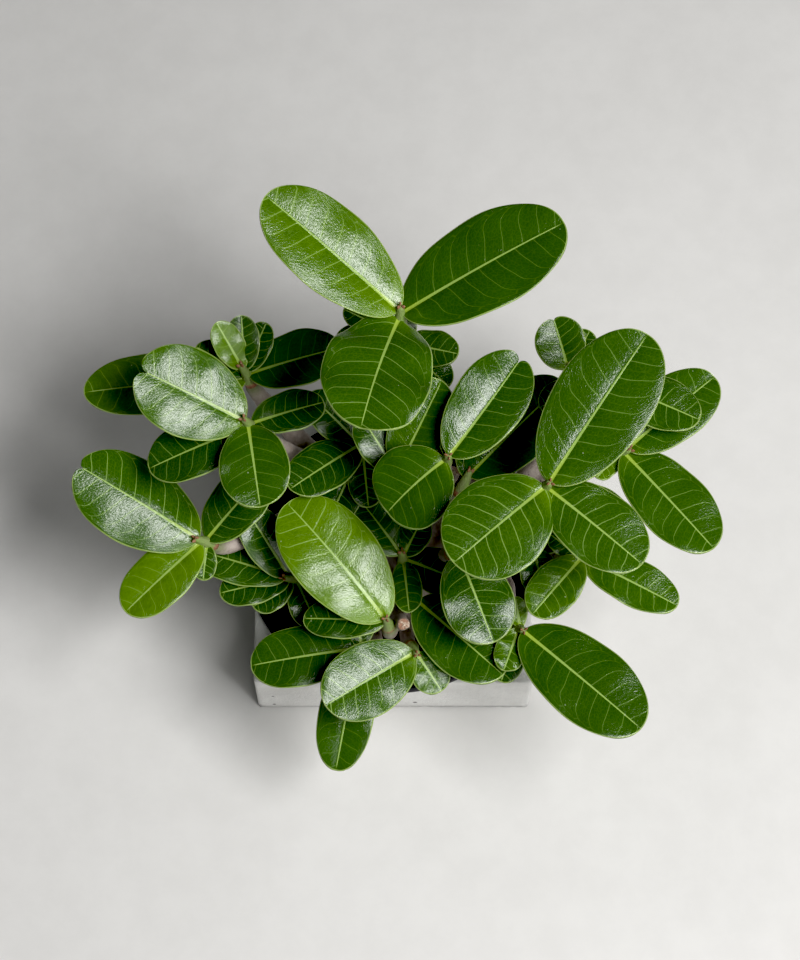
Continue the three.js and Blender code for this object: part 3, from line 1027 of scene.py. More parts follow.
@dataclass
class NurseryPot:
    """The round black pot, hung in the planter by its broad dished rim."""

    rim_radius: float = 65
    rim_top: float = 41
    foot_radius: float = 50
    neck_radius: float = 56
    wall: float = 1.9
    flange: float = 1.5
    foot: float = 6.3
    under: float = 37.3
    dish_steps: int = 7
    sides: int = 144
    finish: Finish = BlackPlastic()

    def inside(self, z: float) -> float:
        """The wall's inner radius at a height."""
        t = (z - self.foot) / (self.under - self.foot)
        return self.foot_radius + (self.neck_radius - self.foot_radius) * t - self.wall

    def profile(self) -> list[tuple[float, float]]:
        """The pot's section.

        Returns:
            Its points, from the axis under the floor, round the rim, to the axis above it.
        """
        rim, top, under = self.rim_radius, self.rim_top, self.under
        throat = under + self.flange
        neck = self.neck_radius
        section = [
            (0, self.foot),
            (self.foot_radius - 1, self.foot),
            (self.foot_radius - 0.2, self.foot + 0.3),
            (self.foot_radius, self.foot + 1),
            (neck - 0.1, under - 0.4),
            (neck + 0.5, under),
            (rim - 0.7, under),
            (rim - 0.2, under + 0.2),
            (rim, under + 0.7),
            (rim, top - 0.6),
            (rim - 0.15, top - 0.2),
            (rim - 0.6, top),
            (rim - 1.2, top),
            (rim - 1.6, top - 0.2),
            (rim - 2.1, top - 0.8),
        ]
        for step in range(1, self.dish_steps):
            t = step / self.dish_steps
            radius = (rim - 2.1) * (1 - t) + (neck - 0.6) * t
            sag = 0.12 * math.sin(math.pi * t)
            section.append((radius, top - 0.8 + (throat - top + 0.8) * t - sag))
        return section + [
            (neck - 0.6, throat),
            (neck - 1.3, throat - 0.35),
            (neck - self.wall, throat - 1.2),
            (self.inside(24), 24),
            (self.inside(self.foot + self.wall), self.foot + self.wall),
            (0, self.foot + self.wall),
        ]

    def build(self) -> bpy.types.Object:
        """Spins the section.

        Returns:
            The piece.
        """
        bm = bmesh.new()
        turned(bm, self.profile(), self.sides)
        piece = finished("nursery_pot", bm, self.finish.material())
        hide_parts("inner_pot")
        return piece


class Crumb(Enum):
    """The kinds of crumb in the mix: the share of each, its size range in mm and its tone range."""

    DUST = (0.52, (0.5, 1.1), (0.0, 0.7))
    BARK = (0.34, (1.0, 2.3), (0.1, 0.85))
    LAVA = (0.10, (1.6, 2.9), (0.3, 0.9))
    PERLITE = (0.04, (0.8, 1.6), (0.96, 1.0))


@dataclass
class Soil:
    """The dark mix that fills the nursery pot up to the swollen stem.

    Its top has settled below the solid's level, with mounds and grit of a size and a height.
    """

    pot: NurseryPot
    level: float = 34.5
    bottom: float = 8.5
    hole_radius: float = 23.6
    root_depth: float = 20.3
    gap: float = 0.3
    settled: float = 1.0
    mounds: Span = (9, 0.6)
    grit: Span = (2.5, 0.3)
    rings: int = 16
    sides: int = 96
    crumbs: int = 2600
    batch: int = 50
    seed: int = 11
    finish: Finish = DarkSoil()

    def top(self, x: float, y: float) -> float:
        """The height of the mix.

        Args:
            x: the place to the right.
            y: the place to the back.

        Returns:
            The height in mm.
        """
        place = Vector((x, y, 0))
        mound = self.mounds[1] * ripple(place, self.mounds[0], 4)
        return self.level - self.settled + mound + self.grit[1] * ripple(place, self.grit[0], 5)

    def build_bed(self) -> bpy.types.Object:
        """The bed under the loose crumbs: a turned body with an uneven top.

        Returns:
            The piece.
        """
        rim = self.pot.inside(self.level) - self.gap
        section = [(0, self.bottom), (self.pot.inside(self.bottom) - self.gap, self.bottom)]
        for k in range(self.rings + 1):
            section.append((rim + (self.hole_radius - rim) * k / self.rings, self.level))
        floor = self.level - self.root_depth
        section += [(self.hole_radius, floor), (0, floor)]
        bm = bmesh.new()
        turned(bm, section, self.sides)
        grain = bm.verts.layers.float.new("grain")
        for vert in bm.verts:
            place = vert.co / MM
            vert[grain] = 0.25 + 0.3 * ripple(place, 3, 6)
            if place.z > self.level - 0.01:
                vert.co.z = self.top(place.x, place.y) * MM
        piece = finished("soil_bed", bm, self.finish.material())
        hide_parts("soil")
        return piece

    def build_crumbs(self) -> bpy.types.Object:
        """Loose crumbs strewn over the bed, from a seeded draw.

        Returns:
            The piece.
        """
        draw = random.Random(self.seed)
        bm = bmesh.new()
        bm.verts.layers.float.new("grain")
        for _ in range(self.crumbs // self.batch):
            join(bm, self.strew(draw))
        piece = finished("soil_crumbs", bm, self.finish.material())
        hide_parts("soil")
        return piece

    def strew(self, draw: random.Random) -> bmesh.types.BMesh:
        """A batch of crumbs where they lie, each an uneven grain of its own size and tone.

        Args:
            draw: the random draw.

        Returns:
            The crumbs' mesh, with the layer grain.
        """
        bm = bmesh.new()
        grain = bm.verts.layers.float.new("grain")
        kinds = list(Crumb)
        shares = [kind.value[0] for kind in kinds]
        rim = self.pot.inside(self.level) - 1.6
        for _ in range(self.batch):
            kind = draw.choices(kinds, shares)[0]
            size = draw.uniform(*kind.value[1])
            tone = draw.uniform(*kind.value[2])
            radius = math.sqrt(draw.uniform((self.hole_radius - 0.5) ** 2, rim * rim))
            turn = draw.uniform(0, math.tau)
            x, y = radius * math.cos(turn), radius * math.sin(turn)
            made = bmesh.ops.create_icosphere(bm, subdivisions=1, radius=0.5 * size * MM)["verts"]
            for vert in made:
                vert[grain] = tone
                vert.co *= draw.uniform(0.75, 1.15)
            shape = (draw.uniform(0.7, 1.3), draw.uniform(0.6, 1.0), draw.uniform(0.45, 0.8))
            bmesh.ops.scale(bm, verts=made, vec=shape)
            spin = Matrix.Rotation(draw.uniform(0, math.tau), 3, draw_axis(draw))
            bmesh.ops.rotate(bm, verts=made, cent=(0, 0, 0), matrix=spin)
            height = min(self.top(x, y) + size * 0.12, self.level - size * 0.1)
            bmesh.ops.translate(bm, verts=made, vec=Vector((x, y, height)) * MM)
        return bm


def draw_axis(draw: random.Random) -> Vector:
    """A random unit vector."""
    return Vector([draw.gauss(0, 1) for _ in range(3)]).normalized()


# ---------------------------------------------------------------- leaves


@dataclass(frozen=True)
class Leaf:
    """One leaf: its form in mm and degrees, as in the part's source, and its own look.

    heading is anticlockwise from +X seen from above and rise is the mean rise above level. roll
    lowers the right-hand edge, sway carries the midrib to the left, notch cuts the tip and wave
    is the height of the margin's waves. tone runs from 0, dark and old, to 1, yellow-green and
    young; a few tones also paint light or shade, as marked in the table. pale is how strongly the
    side veins show.
    """

    heading: float
    rise: float
    length: float
    width: float
    tone: float = 0.3
    pale: float = 0.6
    bend: float = 13
    fold: float = 10
    roll: float = 0
    sway: float = 0
    notch: float = 0
    wave: float = 0.5


@dataclass(frozen=True)
class BladeForm:
    """What all the blades share: the outline's law and the reliefs, in mm and shares.

    trim shortens the blade a little. widest is where along the blade it is widest. Its rows of
    points are crowded towards the base and end at cap, and beyond rounding_from they bend into
    the rounded tip. lobe is the share of the last row over which each lobe beside a notched tip
    is rounded. pairs is the number of side veins on each half of a very short blade, and the
    length that adds one more. The veins lean towards the tip and hook at hook_from of the way
    to the margin. A blade shorter than full_size has shallower reliefs.
    """

    thickness: float = 0.72
    trim: float = 0.35
    petiole: float = 1.5
    widest: float = 0.54
    cap: float = 0.94
    crowding: float = 1.25
    rounding_from: float = 0.55
    lobe: float = 0.65
    base_power: float = 1.8
    tip_power: float = 2.2
    pairs: Span = (4.3, 14)
    lean: Span = (0.34, 0.10)
    hook: float = 0.9
    hook_from: float = 0.62
    vein_wobble: float = 0.16
    rows_per_mm: float = 1.05
    columns_per_mm: float = 0.42
    cupping: float = 0.12
    waves: float = 2.5
    full_size: float = 55
    quilting: float = 0.08
    dents: float = 0.12
    groove: float = 0.30
    groove_width: float = 1.5
    rib: float = 1.5
    rib_width: float = 1.1
    margin_thinning: float = 0.30
    rim_bulge: float = 0.2

    def fullness(self, u: float) -> float:
        """How wide the blade is along its length.

        Args:
            u: the place along the blade, from 0 at the base to 1 at the tip.

        Returns:
            Its width as a share of the greatest width.
        """
        c = self.widest
        if u < c:
            return math.sqrt(max(0.0, 1 - ((c - u) / c) ** self.base_power))
        return math.sqrt(max(0.0, 1 - ((u - c) / (1 - c)) ** self.tip_power))

    def tip_edge(self, share: float) -> float:
        """The u of the rounded tip's edge at a share of the greatest half width."""
        reach = max(0.0, 1 - share * share) ** (1 / self.tip_power)
        return self.widest + (1 - self.widest) * reach


FORM = BladeForm()


class Blade:
    """Builds one leaf's blade: its surface, its veins' course and its thickness."""

    def __init__(self, leaf: Leaf, seed: float, form: BladeForm = FORM) -> None:
        """Keeps the leaf and works out its midrib's bend and its number of side veins.

        Args:
            leaf: the leaf.
            seed: a number of its own.
            form: what all the blades share.
        """
        self.leaf = leaf
        self.seed = seed
        self.form = form
        self.length = leaf.length - form.trim
        self.pairs = form.pairs[0] + leaf.length / form.pairs[1]
        self.start = math.radians(leaf.rise + leaf.bend / 2)
        self.turn = max(math.radians(leaf.bend), 0.01)

    def outline(self, t: float, v: float) -> tuple[float, float, float]:
        """Where a point of the grid lies in the flat blade.

        Args:
            t: the row, from 0 at the base to 1 at the tip.
            v: the place across, from -1 at the left edge to 1 at the right.

        Returns:
            The place along the blade, the half width in mm and the distance to the margin in mm.
        """
        leaf, form = self.leaf, self.form
        row = form.cap * t**form.crowding
        share = form.fullness(row)
        half = max(form.petiole, share * leaf.width / 2)
        rounding = smoothstep(t, form.rounding_from, 1)
        edge_lift = form.tip_edge(share * abs(v)) - form.tip_edge(share)
        inwards = 1 - min(1.0, abs(v) / form.lobe)
        cleft = leaf.notch / leaf.length * (1 - math.sqrt(1 - inwards * inwards)) * rounding
        u = row + rounding * edge_lift - cleft
        ahead = (form.tip_edge(min(1.0, abs(v) * half * 2 / leaf.width)) - u) * leaf.length
        beside = (1 - abs(v)) * half
        margin = beside if t < 0.3 else min(beside, max(0.0, ahead))
        return u, half, margin

    def vein_count(self, u: float, v: float, half: float) -> float:
        """Counts the side veins up to a point.

        Args:
            u: the place along the blade.
            v: the place across it, from -1 to 1.
            half: its half width there, in mm.

        Returns:
            How many side veins leave the midrib before the one that passes through the point.
        """
        out, form = abs(v), self.form
        lean = (form.lean[0] * out + form.lean[1] * out * out) * half / self.leaf.length
        hook = form.hook * max(0.0, out - form.hook_from) ** 2
        wobble = form.vein_wobble * noise.noise(Vector((u * 4.5, v * 2.2, self.seed * 3.7)))
        return self.pairs * (u - lean - hook) + wobble + 0.5

    def relief(self, u: float, v: float, half: float) -> float:
        """The relief of the upper face: quilting between the veins, dents and the groove.

        Args:
            u: the place along the blade.
            v: the place across it, from -1 to 1.
            half: its half width there, in mm.

        Returns:
            The relief's height in mm.
        """
        out, form = abs(v), self.form
        count = self.vein_count(u, v, half) + (SIDE_SHIFT if v > 0 else 0.0)
        belly = 0.5 - 0.5 * math.cos(math.tau * (count - 0.5))
        body = smoothstep(out, 0.03, 0.25) * smoothstep(out, 1.0, 0.7) * smoothstep(u, 0.02, 0.15)
        dent = noise.noise(Vector((u * 9, v * 3.5, self.seed * 8.1))) * smoothstep(out, 0.05, 0.4)
        groove = math.exp(-((v * half / form.groove_width) ** 2)) * (1 - 0.6 * u)
        size = min(1.0, self.leaf.length / form.full_size)
        return size * (form.quilting * belly * body + form.dents * dent - form.groove * groove)

    def point(self, t: float, v: float) -> tuple[Vector, tuple[float, float, float]]:
        """A point of the blade's upper face.

        Args:
            t: the row, from 0 at the base to 1 at the tip.
            v: the place across, from -1 at the left edge to 1 at the right.

        Returns:
            The point in mm, with +X along the blade, and its outline values.
        """
        leaf, form = self.leaf, self.form
        u, half, margin = self.outline(t, v)
        angle = self.start - self.turn * u
        x = self.length * (math.sin(self.start) - math.sin(angle)) / self.turn
        z = self.length * (math.cos(angle) - math.cos(self.start)) / self.turn
        y = v * half
        shift = 0.2 if v > 0 else 0.65
        wave = leaf.wave * abs(v) * math.sin(math.tau * (form.waves * u + shift))
        fold = math.tan(math.radians(leaf.fold))
        lift = abs(y) * fold - form.cupping * y * y / half + wave
        lift += self.relief(u, v, half) + form.thickness / 2
        roll = math.radians(leaf.roll)
        across = y * math.cos(roll) + lift * math.sin(roll)
        up = lift * math.cos(roll) - y * math.sin(roll)
        sway = leaf.sway * u * u
        place = Vector((x - up * math.sin(angle), sway - across, z + up * math.cos(angle)))
        return place, (u, half, margin)

    def add_to(self, bm: bmesh.types.BMesh, place: Matrix) -> None:
        """Adds the blade to a mesh as a closed, thickened and rounded sheet.

        Args:
            bm: the mesh that receives it, in metres, with the layers of add_leaf_layers.
            place: carries the blade, in mm, to its seat on the shoot.
        """
        leaf = self.leaf
        rows = max(20, round(leaf.length * self.form.rows_per_mm))
        columns = 2 * max(7, round(leaf.width * self.form.columns_per_mm))
        sheet = bmesh.new()
        own = add_leaf_layers(sheet)
        bmesh.ops.create_grid(sheet, x_segments=rows, y_segments=columns, size=0.5)
        spacing = 0.93 * leaf.length / self.pairs
        for vert in sheet.verts:
            t, v = vert.co.x + 0.5, -2 * vert.co.y
            point, (u, half, margin) = self.point(t, v)
            vert.co = (place @ point) * MM
            vert[own["blade"]] = (u, v, half)
            vert[own["vein"]] = (self.vein_count(u, v, half), spacing, margin)
            vert[own["trait"]] = (leaf.tone, leaf.pale, self.seed % 1.0)
        self.thicken(sheet, own)
        join(bm, sheet)

    def thicken(self, sheet: bmesh.types.BMesh, own: dict[str, object]) -> None:
        """Gives the sheet its thickness, a thinner margin, a rib underneath and a rounded rim.

        Args:
            sheet: the blade's upper face in metres.
            own: its layers by name.
        """
        upper, form = len(sheet.verts), self.form
        bmesh.ops.solidify(sheet, geom=list(sheet.faces), thickness=form.thickness * MM)
        sheet.verts.ensure_lookup_table()
        sheet.verts.index_update()
        sheet.normal_update()
        for vert in sheet.verts[upper:]:
            u, v, half = vert[own["blade"]]
            margin = vert[own["vein"]][2]
            vert[own["under"]] = 1.0
            rib = form.rib * (1 - u) ** 1.6 * math.exp(-((v * half / form.rib_width) ** 2))
            thin = form.margin_thinning * form.thickness * smoothstep(margin, 2.0, 0.0)
            vert.co += vert.normal * (rib - thin) * MM
        self.round_rim(sheet, upper)

    def round_rim(self, sheet: bmesh.types.BMesh, upper: int) -> None:
        """Splits the margin's upright edges and pushes their middles out into a round rim.

        Args:
            sheet: the thickened blade.
            upper: how many points the upper face has, which come first.
        """
        upright = [e for e in sheet.edges if len({v.index < upper for v in e.verts}) == 2]
        made = bmesh.ops.subdivide_edges(sheet, edges=upright, cuts=1, use_grid_fill=True)
        middles = [v for v in made["geom_inner"] if isinstance(v, bmesh.types.BMVert)]
        sheet.normal_update()
        for vert in middles:
            vert.co += vert.normal * self.form.rim_bulge * MM


def add_leaf_layers(bm: bmesh.types.BMesh) -> dict[str, object]:
    """Adds the point layers that the leaf finish reads.

    Args:
        bm: the mesh.

    Returns:
        The layers by name.
    """
    layers = {name: bm.verts.layers.float_vector.new(name) for name in ("blade", "vein", "trait")}
    layers["under"] = bm.verts.layers.float.new("under")
    return layers


@dataclass(frozen=True)
class ShootForm:
    """What all the shoots share, in mm.

    seat is how far the first leaf sits above the foot, leaf_span is the length of shoot that
    carries the leaves, and root is how far a blade's base lies from the shoot's axis.
    """

    radius: float = 2.9
    tip_radius: float = 1.4
    length: float = 11
    sunk: float = 1.5
    seat: float = 6.5
    leaf_span: float = 6
    root: float = 1
    rows: int = 12
    sides: int = 20
    scars: float = 3.5
    scar_depth: float = 0.16
    bud: float = 0.9
    bud_scales: int = 3


SHOOT = ShootForm()


@dataclass
class Rosette:
    """A shoot tip with its leaves: where the leaves meet, and which way the shoot points."""

    name: str
    at: Point
    tilt: float
    heading: float
    leaves: list[Leaf]

    @property
    def axis(self) -> Vector:
        """The way the shoot points."""
        return direction(self.heading, 90 - self.tilt)

    @property
    def foot(self) -> Vector:
        """Where the shoot stands on its branch, in mm."""
        return Vector(self.at) - self.axis * SHOOT.seat

    def leaf_place(self, i: int, heading: float) -> Matrix:
        """Where a leaf sits.

        Args:
            i: the leaf's number, from the uppermost.
            heading: its heading in degrees.

        Returns:
            The matrix that carries its blade, in mm, to its seat on the shoot.
        """
        lower = SHOOT.leaf_span * i / max(4, len(self.leaves))
        base = Vector(self.at) + self.axis * (1 - lower)
        turn = Matrix.Rotation(math.radians(heading), 4, "Z")
        return Matrix.Translation(base) @ turn @ Matrix.Translation((SHOOT.root, 0, 0))

    def build_blades(self, finish: Finish) -> bpy.types.Object:
        """Builds all the rosette's blades as one piece.

        Args:
            finish: their finish.

        Returns:
            The piece.
        """
        bm = bmesh.new()
        add_leaf_layers(bm)
        for i, leaf in enumerate(self.leaves):
            seed = 0.137 + 0.618 * (i + 1) + 0.01 * leaf.heading
            Blade(leaf, seed).add_to(bm, self.leaf_place(i, leaf.heading))
        piece = finished("blades_" + self.name, bm, finish.material())
        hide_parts("leaves_" + self.name)
        return piece

    def build_shoot(self, finish: Finish) -> bpy.types.Object:
        """Builds the shoot tip: a tapering stalk with leaf scars and a small bud.

        Args:
            finish: its finish.

        Returns:
            The piece.
        """
        bm = bmesh.new()
        wide, tip, tall = SHOOT.radius, SHOOT.tip_radius, SHOOT.length
        section = [(0, -SHOOT.sunk), (wide - 0.1, -SHOOT.sunk)]
        for k in range(SHOOT.rows + 1):
            t = k / SHOOT.rows
            scar = SHOOT.scar_depth * math.sin(t * math.tau * SHOOT.scars)
            section.append((wide + (tip - wide) * t + scar * (1 - t), t * (tall - 1.0)))
        section += [(tip * 0.75, tall - 0.5), (tip * 0.4, tall - 0.15), (0, tall)]
        turned(bm, section, SHOOT.sides)
        brown = bm.verts.layers.float.new("shoot")
        for vert in bm.verts:
            vert[brown] = smoothstep(vert.co.z / MM, 2.5, -0.5) * 0.9
        self.add_bud(bm, brown)
        lean = UP.rotation_difference(self.axis).to_matrix().to_4x4()
        bmesh.ops.transform(bm, matrix=Matrix.Translation(self.foot * MM) @ lean, verts=bm.verts)
        piece = finished("shoot_" + self.name, bm, finish.material())
        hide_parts("leaves_" + self.name)
        return piece

    def add_bud(self, bm: bmesh.types.BMesh, brown: object) -> None:
        """Adds small scales round the shoot's tip.

        Args:
            bm: the shoot, upright at the origin.
            brown: its layer for brown scales.
        """
        size = SHOOT.bud
        for k in range(SHOOT.bud_scales):
            turn = math.tau * k / SHOOT.bud_scales + 0.1 * self.heading
            made = bmesh.ops.create_uvsphere(bm, u_segments=10, v_segments=8, radius=size * MM)
            verts = made["verts"]
            bmesh.ops.scale(bm, verts=verts, vec=(0.9, 0.55, 1.7))
            tilt = Matrix.Rotation(math.radians(16 + 7 * k), 3, "Y")
            bmesh.ops.rotate(bm, verts=verts, cent=(0, 0, 0), matrix=tilt)
            spin = Matrix.Rotation(turn, 3, "Z")
            bmesh.ops.translate(bm, verts=verts, vec=Vector((size, 0, SHOOT.length - 0.4)) * MM)
            bmesh.ops.rotate(bm, verts=verts, cent=(0, 0, 0), matrix=spin)
            for vert in verts:
                vert[brown] = 0.75


ROSETTES = [
    Rosette("back", (3, 44, 185), 12, 80, [
        Leaf(144.5, 22, 68, 35, tone=0.62, pale=0.8, bend=8, fold=10),
        Leaf(24, 18, 72, 39, tone=0.3, pale=0.45),
        Leaf(250, 12, 55, 43, tone=0.42, pale=0.7, wave=1.6, sway=4, fold=7),
    ]),
    Rosette("back_low", (3, 64, 118), 45, 85, [
        Leaf(157, 15, 26, 13, tone=0.12),
        Leaf(178, 5, 26, 12, tone=0.12),
        Leaf(344, 10, 25, 17, tone=0.3),
        Leaf(318, 0, 27, 17, tone=0.25),
        Leaf(95, -35, 27, 17, tone=0.2),
    ]),
    Rosette("left_back", (-61, 46, 126), 25, 140, [
        Leaf(126, 40, 23, 13, tone=0.75, pale=0.5, bend=8),
        Leaf(93, 35, 23, 14, tone=0.15),
        Leaf(65, 25, 22, 13, tone=0.12),
        # its tone is raised above its own green: painted light in the shade of the leaves above it
        Leaf(13, 10, 40, 25, tone=0.3, pale=0.4),
        Leaf(152, 10, 24, 14, tone=0.1),
        # its tone is raised above its own green: painted light in the shade of the leaves above it
        Leaf(188, 5, 67, 28, tone=0.6),
    ]),
    Rosette("left_high", (-58, 15, 145), 20, 180, [
        Leaf(160, 21, 48, 36, tone=0.52, pale=0.75, notch=5, fold=6, roll=-10, bend=8),
        Leaf(279, 0, 36, 28, tone=0.38, pale=0.45),
        Leaf(20, -5, 31, 18, tone=0.15),
        Leaf(200, -12, 44, 25, tone=0.15),
    ]),
    Rosette("left_front", (-78, -21, 107), 35, 190, [
        Leaf(153, 20, 58, 36, tone=0.4, pale=0.85, notch=3, fold=-6, roll=-1, bend=9),
        Leaf(224, -5, 42, 24, tone=0.78, pale=0.5),
        Leaf(46, 18, 38, 23, tone=0.2),
        Leaf(264, -20, 15, 10, tone=0.3),
    ]),
    Rosette("left_low", (-43, -29, 84), 40, 200, [
        Leaf(162, -2, 40, 20, tone=0.35, pale=0.75),
        Leaf(128, 36, 36, 19, tone=0.2),
        Leaf(191, -5, 30, 17, tone=0.15),
        Leaf(214, -12, 20, 15, tone=0.15),
        Leaf(295, -10, 22, 16, tone=0.15),
    ]),
    Rosette("front", (-2.5, -52.5, 97), 5, 200, [
        Leaf(132, 15, 63, 36, tone=0.74, pale=1.0, fold=6, roll=-2, bend=34),
        Leaf(175, -8, 34, 17, tone=0.15),
    ]),
    Rosette("front_mid", (9, -40, 88), 15, 330, [
        Leaf(317, 2, 48, 31, tone=0.32, pale=0.5, bend=8),
    ]),
    Rosette("front_left", (-14, -59, 82), 40, 220, [
        Leaf(188, -5, 44, 26, tone=0.26, pale=0.5),
        Leaf(258, -24, 51, 23, tone=0.35, pale=0.4),
        Leaf(98, 15, 15, 13, tone=0.3),
    ]),
    Rosette("front_low", (9, -62, 87), 35, 290, [
        Leaf(213, 4, 43, 30, tone=0.42, pale=0.9, roll=-13, fold=10, bend=10),
        Leaf(305, -14, 19, 16, tone=0.5),
    ]),
    Rosette("middle", (4, -21, 88), 10, 120, [
        Leaf(128, 10, 28, 20, tone=0.4),
        Leaf(60, 25, 19, 14, tone=0.2),
        Leaf(341, -12, 37, 22, tone=0.25),
        Leaf(275, 24, 29, 13, tone=0.45),
    ]),
    Rosette("centre", (21.5, -2.5, 150), 12, 300, [
        Leaf(50, 9, 50, 29, tone=0.32, pale=0.6, notch=3.5, roll=3, fold=18, bend=16, sway=3),
        Leaf(218, -22, 32, 35, tone=0.4, pale=0.45, bend=45),
        Leaf(74, 18, 14, 9, tone=0.15),
    ]),
    Rosette("inner_high", (1.5, -2, 133), 20, 200, [
        Leaf(57, 28, 41, 24, tone=0.5, pale=0.4, fold=14, bend=16, sway=2),
        Leaf(124, 18, 27, 17, tone=0.2),
    ]),
    Rosette("inner", (-13, 19, 112), 15, 150, [
        # its dark tone also paints the shade deep in the foliage, besides its own green
        Leaf(219, 12, 37, 22, tone=0.15, pale=0.65),
        Leaf(138, 15, 30, 18, tone=0.08),
        Leaf(276, -10, 25, 15, tone=0.1),
        Leaf(244, -15, 34, 19, tone=0.1),
        Leaf(330, 0, 17, 14, tone=0.1),
    ]),
    Rosette("side_shoot", (30, 4, 112), 50, 60, [
        Leaf(42, 15, 55, 31, tone=0.25, pale=0.35),
        Leaf(78, 0, 26, 14, tone=0.15),
    ]),
    Rosette("right_high", (60, -18, 160), 15, 330, [
        Leaf(55, 15, 70, 39, tone=0.35, pale=0.6, fold=8, bend=10),
        Leaf(220, -5, 47, 40, tone=0.45, pale=0.85, bend=10, fold=6),
        Leaf(318, 1, 48, 30, tone=0.38, pale=0.75, bend=10),
        Leaf(343, -15, 37, 17, tone=0.15),
    ]),
    Rosette("right_upper", (86, 34, 140), 25, 60, [
        Leaf(334, 4, 40, 23, tone=0.3, pale=0.65),
        Leaf(200, 0, 28, 17, tone=0.2),
    ]),
    Rosette("right", (93, 8, 132), 35, 350, [
        Leaf(39, 8, 47, 27, tone=0.4, pale=0.6),
        Leaf(309, 2, 54, 29, tone=0.42, pale=0.6, bend=8),
        Leaf(227, -5, 14, 9, tone=0.7),
    ]),
    Rosette("right_back", (73, 52, 112), 30, 50, [
        Leaf(110, 32, 23, 21, tone=0.5, fold=18, roll=-12, notch=1.5),
        Leaf(58, 35, 20, 14, tone=0.35),
        Leaf(5, 10, 26, 15, tone=0.25),
    ]),
    Rosette("right_front", (76, -31, 115), 35, 330, [
        Leaf(229, -5, 31, 20, tone=0.55, pale=0.6),
        Leaf(331, 1, 43, 20, tone=0.5, pale=0.6, bend=8),
        Leaf(141, 5, 14, 10, tone=0.3),
    ]),
    Rosette("front_right", (52, -55, 95), 30, 300, [
        Leaf(317.5, 3, 63, 34, tone=0.3, pale=0.5, bend=8),
        Leaf(100, 30, 13, 8, tone=0.75),
        Leaf(250, 3, 19, 13, tone=0.55, wave=1.2),
        Leaf(251, -30, 23, 14, tone=0.15),
    ]),
    Rosette("low_right", (26, -28, 112), 25, 320, [
        Leaf(291, -8, 39, 29, tone=0.22, pale=0.7),
        Leaf(30, 5, 22, 14, tone=0.15),
    ]),
    Rosette("right_low", (57, -25, 108), 30, 100, [
        Leaf(283, -10, 20, 16, tone=0.4),
        Leaf(26, 10, 19, 12, tone=0.2),
    ]),
]


# ---------------------------------------------------------------- stem and branches


@dataclass(frozen=True)
class Branch:
    """A branch from the stem or an older branch to a rosette, in mm, as in the part's source."""

    start: Point
    via: tuple[Point, ...]
    to: str
    radii: Span


@dataclass(frozen=True)
class Stub:
    """An old pruning cut: a short stub with a flat end, in mm."""

    start: Point
    end: Point
    radii: Span


BRANCHES = [
    Branch((0, 6, 52), ((3, 26, 92),), "back", (11, 3.4)),
    Branch((2, 20, 78), ((3, 40, 96),), "back_low", (5, 3)),
    Branch((-6, 8, 54), ((-30, 22, 84),), "left_back", (9.5, 3.2)),
    Branch((-24, 19, 76), ((-44, 18, 108),), "left_high", (6, 3.3)),
    Branch((-6, 2, 50), ((-36, -1, 84),), "left_front", (8.5, 3.2)),
    Branch((-20, -3, 62), ((-31, -17, 70),), "left_low", (5, 3)),
    Branch((0, -4, 50), ((-2, -34, 68),), "front", (8, 3.2)),
    Branch((-2, -26, 62), ((5, -36, 72),), "front_mid", (5, 3)),
    Branch((-2, -26, 62), ((-9, -42, 68),), "front_left", (5, 3)),
    Branch((-1, -24, 61), ((5, -44, 68),), "front_low", (5, 3)),
    Branch((0, -6, 56), ((3, -16, 68),), "middle", (6, 3)),
    Branch((4, 4, 56), ((18, 5, 92),), "centre", (9, 3.4)),
    Branch((14, 5, 84), ((8, 4, 104),), "inner_high", (4.5, 3)),
    Branch((-4, 8, 62), ((-10, 15, 84),), "inner", (6, 3)),
    Branch((18, 4, 92), ((23, 2, 101),), "side_shoot", (4.5, 3)),
    Branch((6, 2, 52), ((36, 4, 84), (52, -4, 122)), "right_high", (9.5, 3.4)),
    Branch((46, 0, 102), ((68, 5, 112),), "right", (5.5, 3.1)),
    Branch((50, 2, 106), ((68, 20, 120),), "right_upper", (4.5, 3)),
    Branch((34, 4, 82), ((54, 28, 90),), "right_back", (5.5, 3)),
    Branch((4, -2, 50), ((38, -14, 72),), "right_front", (8.5, 3.2)),
    Branch((34, -12, 69), ((46, -28, 78),), "front_right", (5.5, 3.4)),
    Branch((20, -5, 60), ((30, -12, 86),), "low_right", (5.5, 3)),
    Branch((40, -15, 75), ((50, -20, 88),), "right_low", (4.5, 3)),
]

STUBS = [
    Stub((1.4, -42.5, 74), (4.4, -54, 98), (3.6, 3.1)),
    Stub((3.4, 38, 160), (7.6, 38.5, 181), (2.4, 1.7)),
    Stub((17, 5, 82), (26, 14, 98), (4, 3.2)),
    Stub((-18, 16, 70), (-27, 30, 88), (4.4, 3.6)),
    Stub((30, 4, 78), (34, 18, 92), (4.2, 3.4)),
]


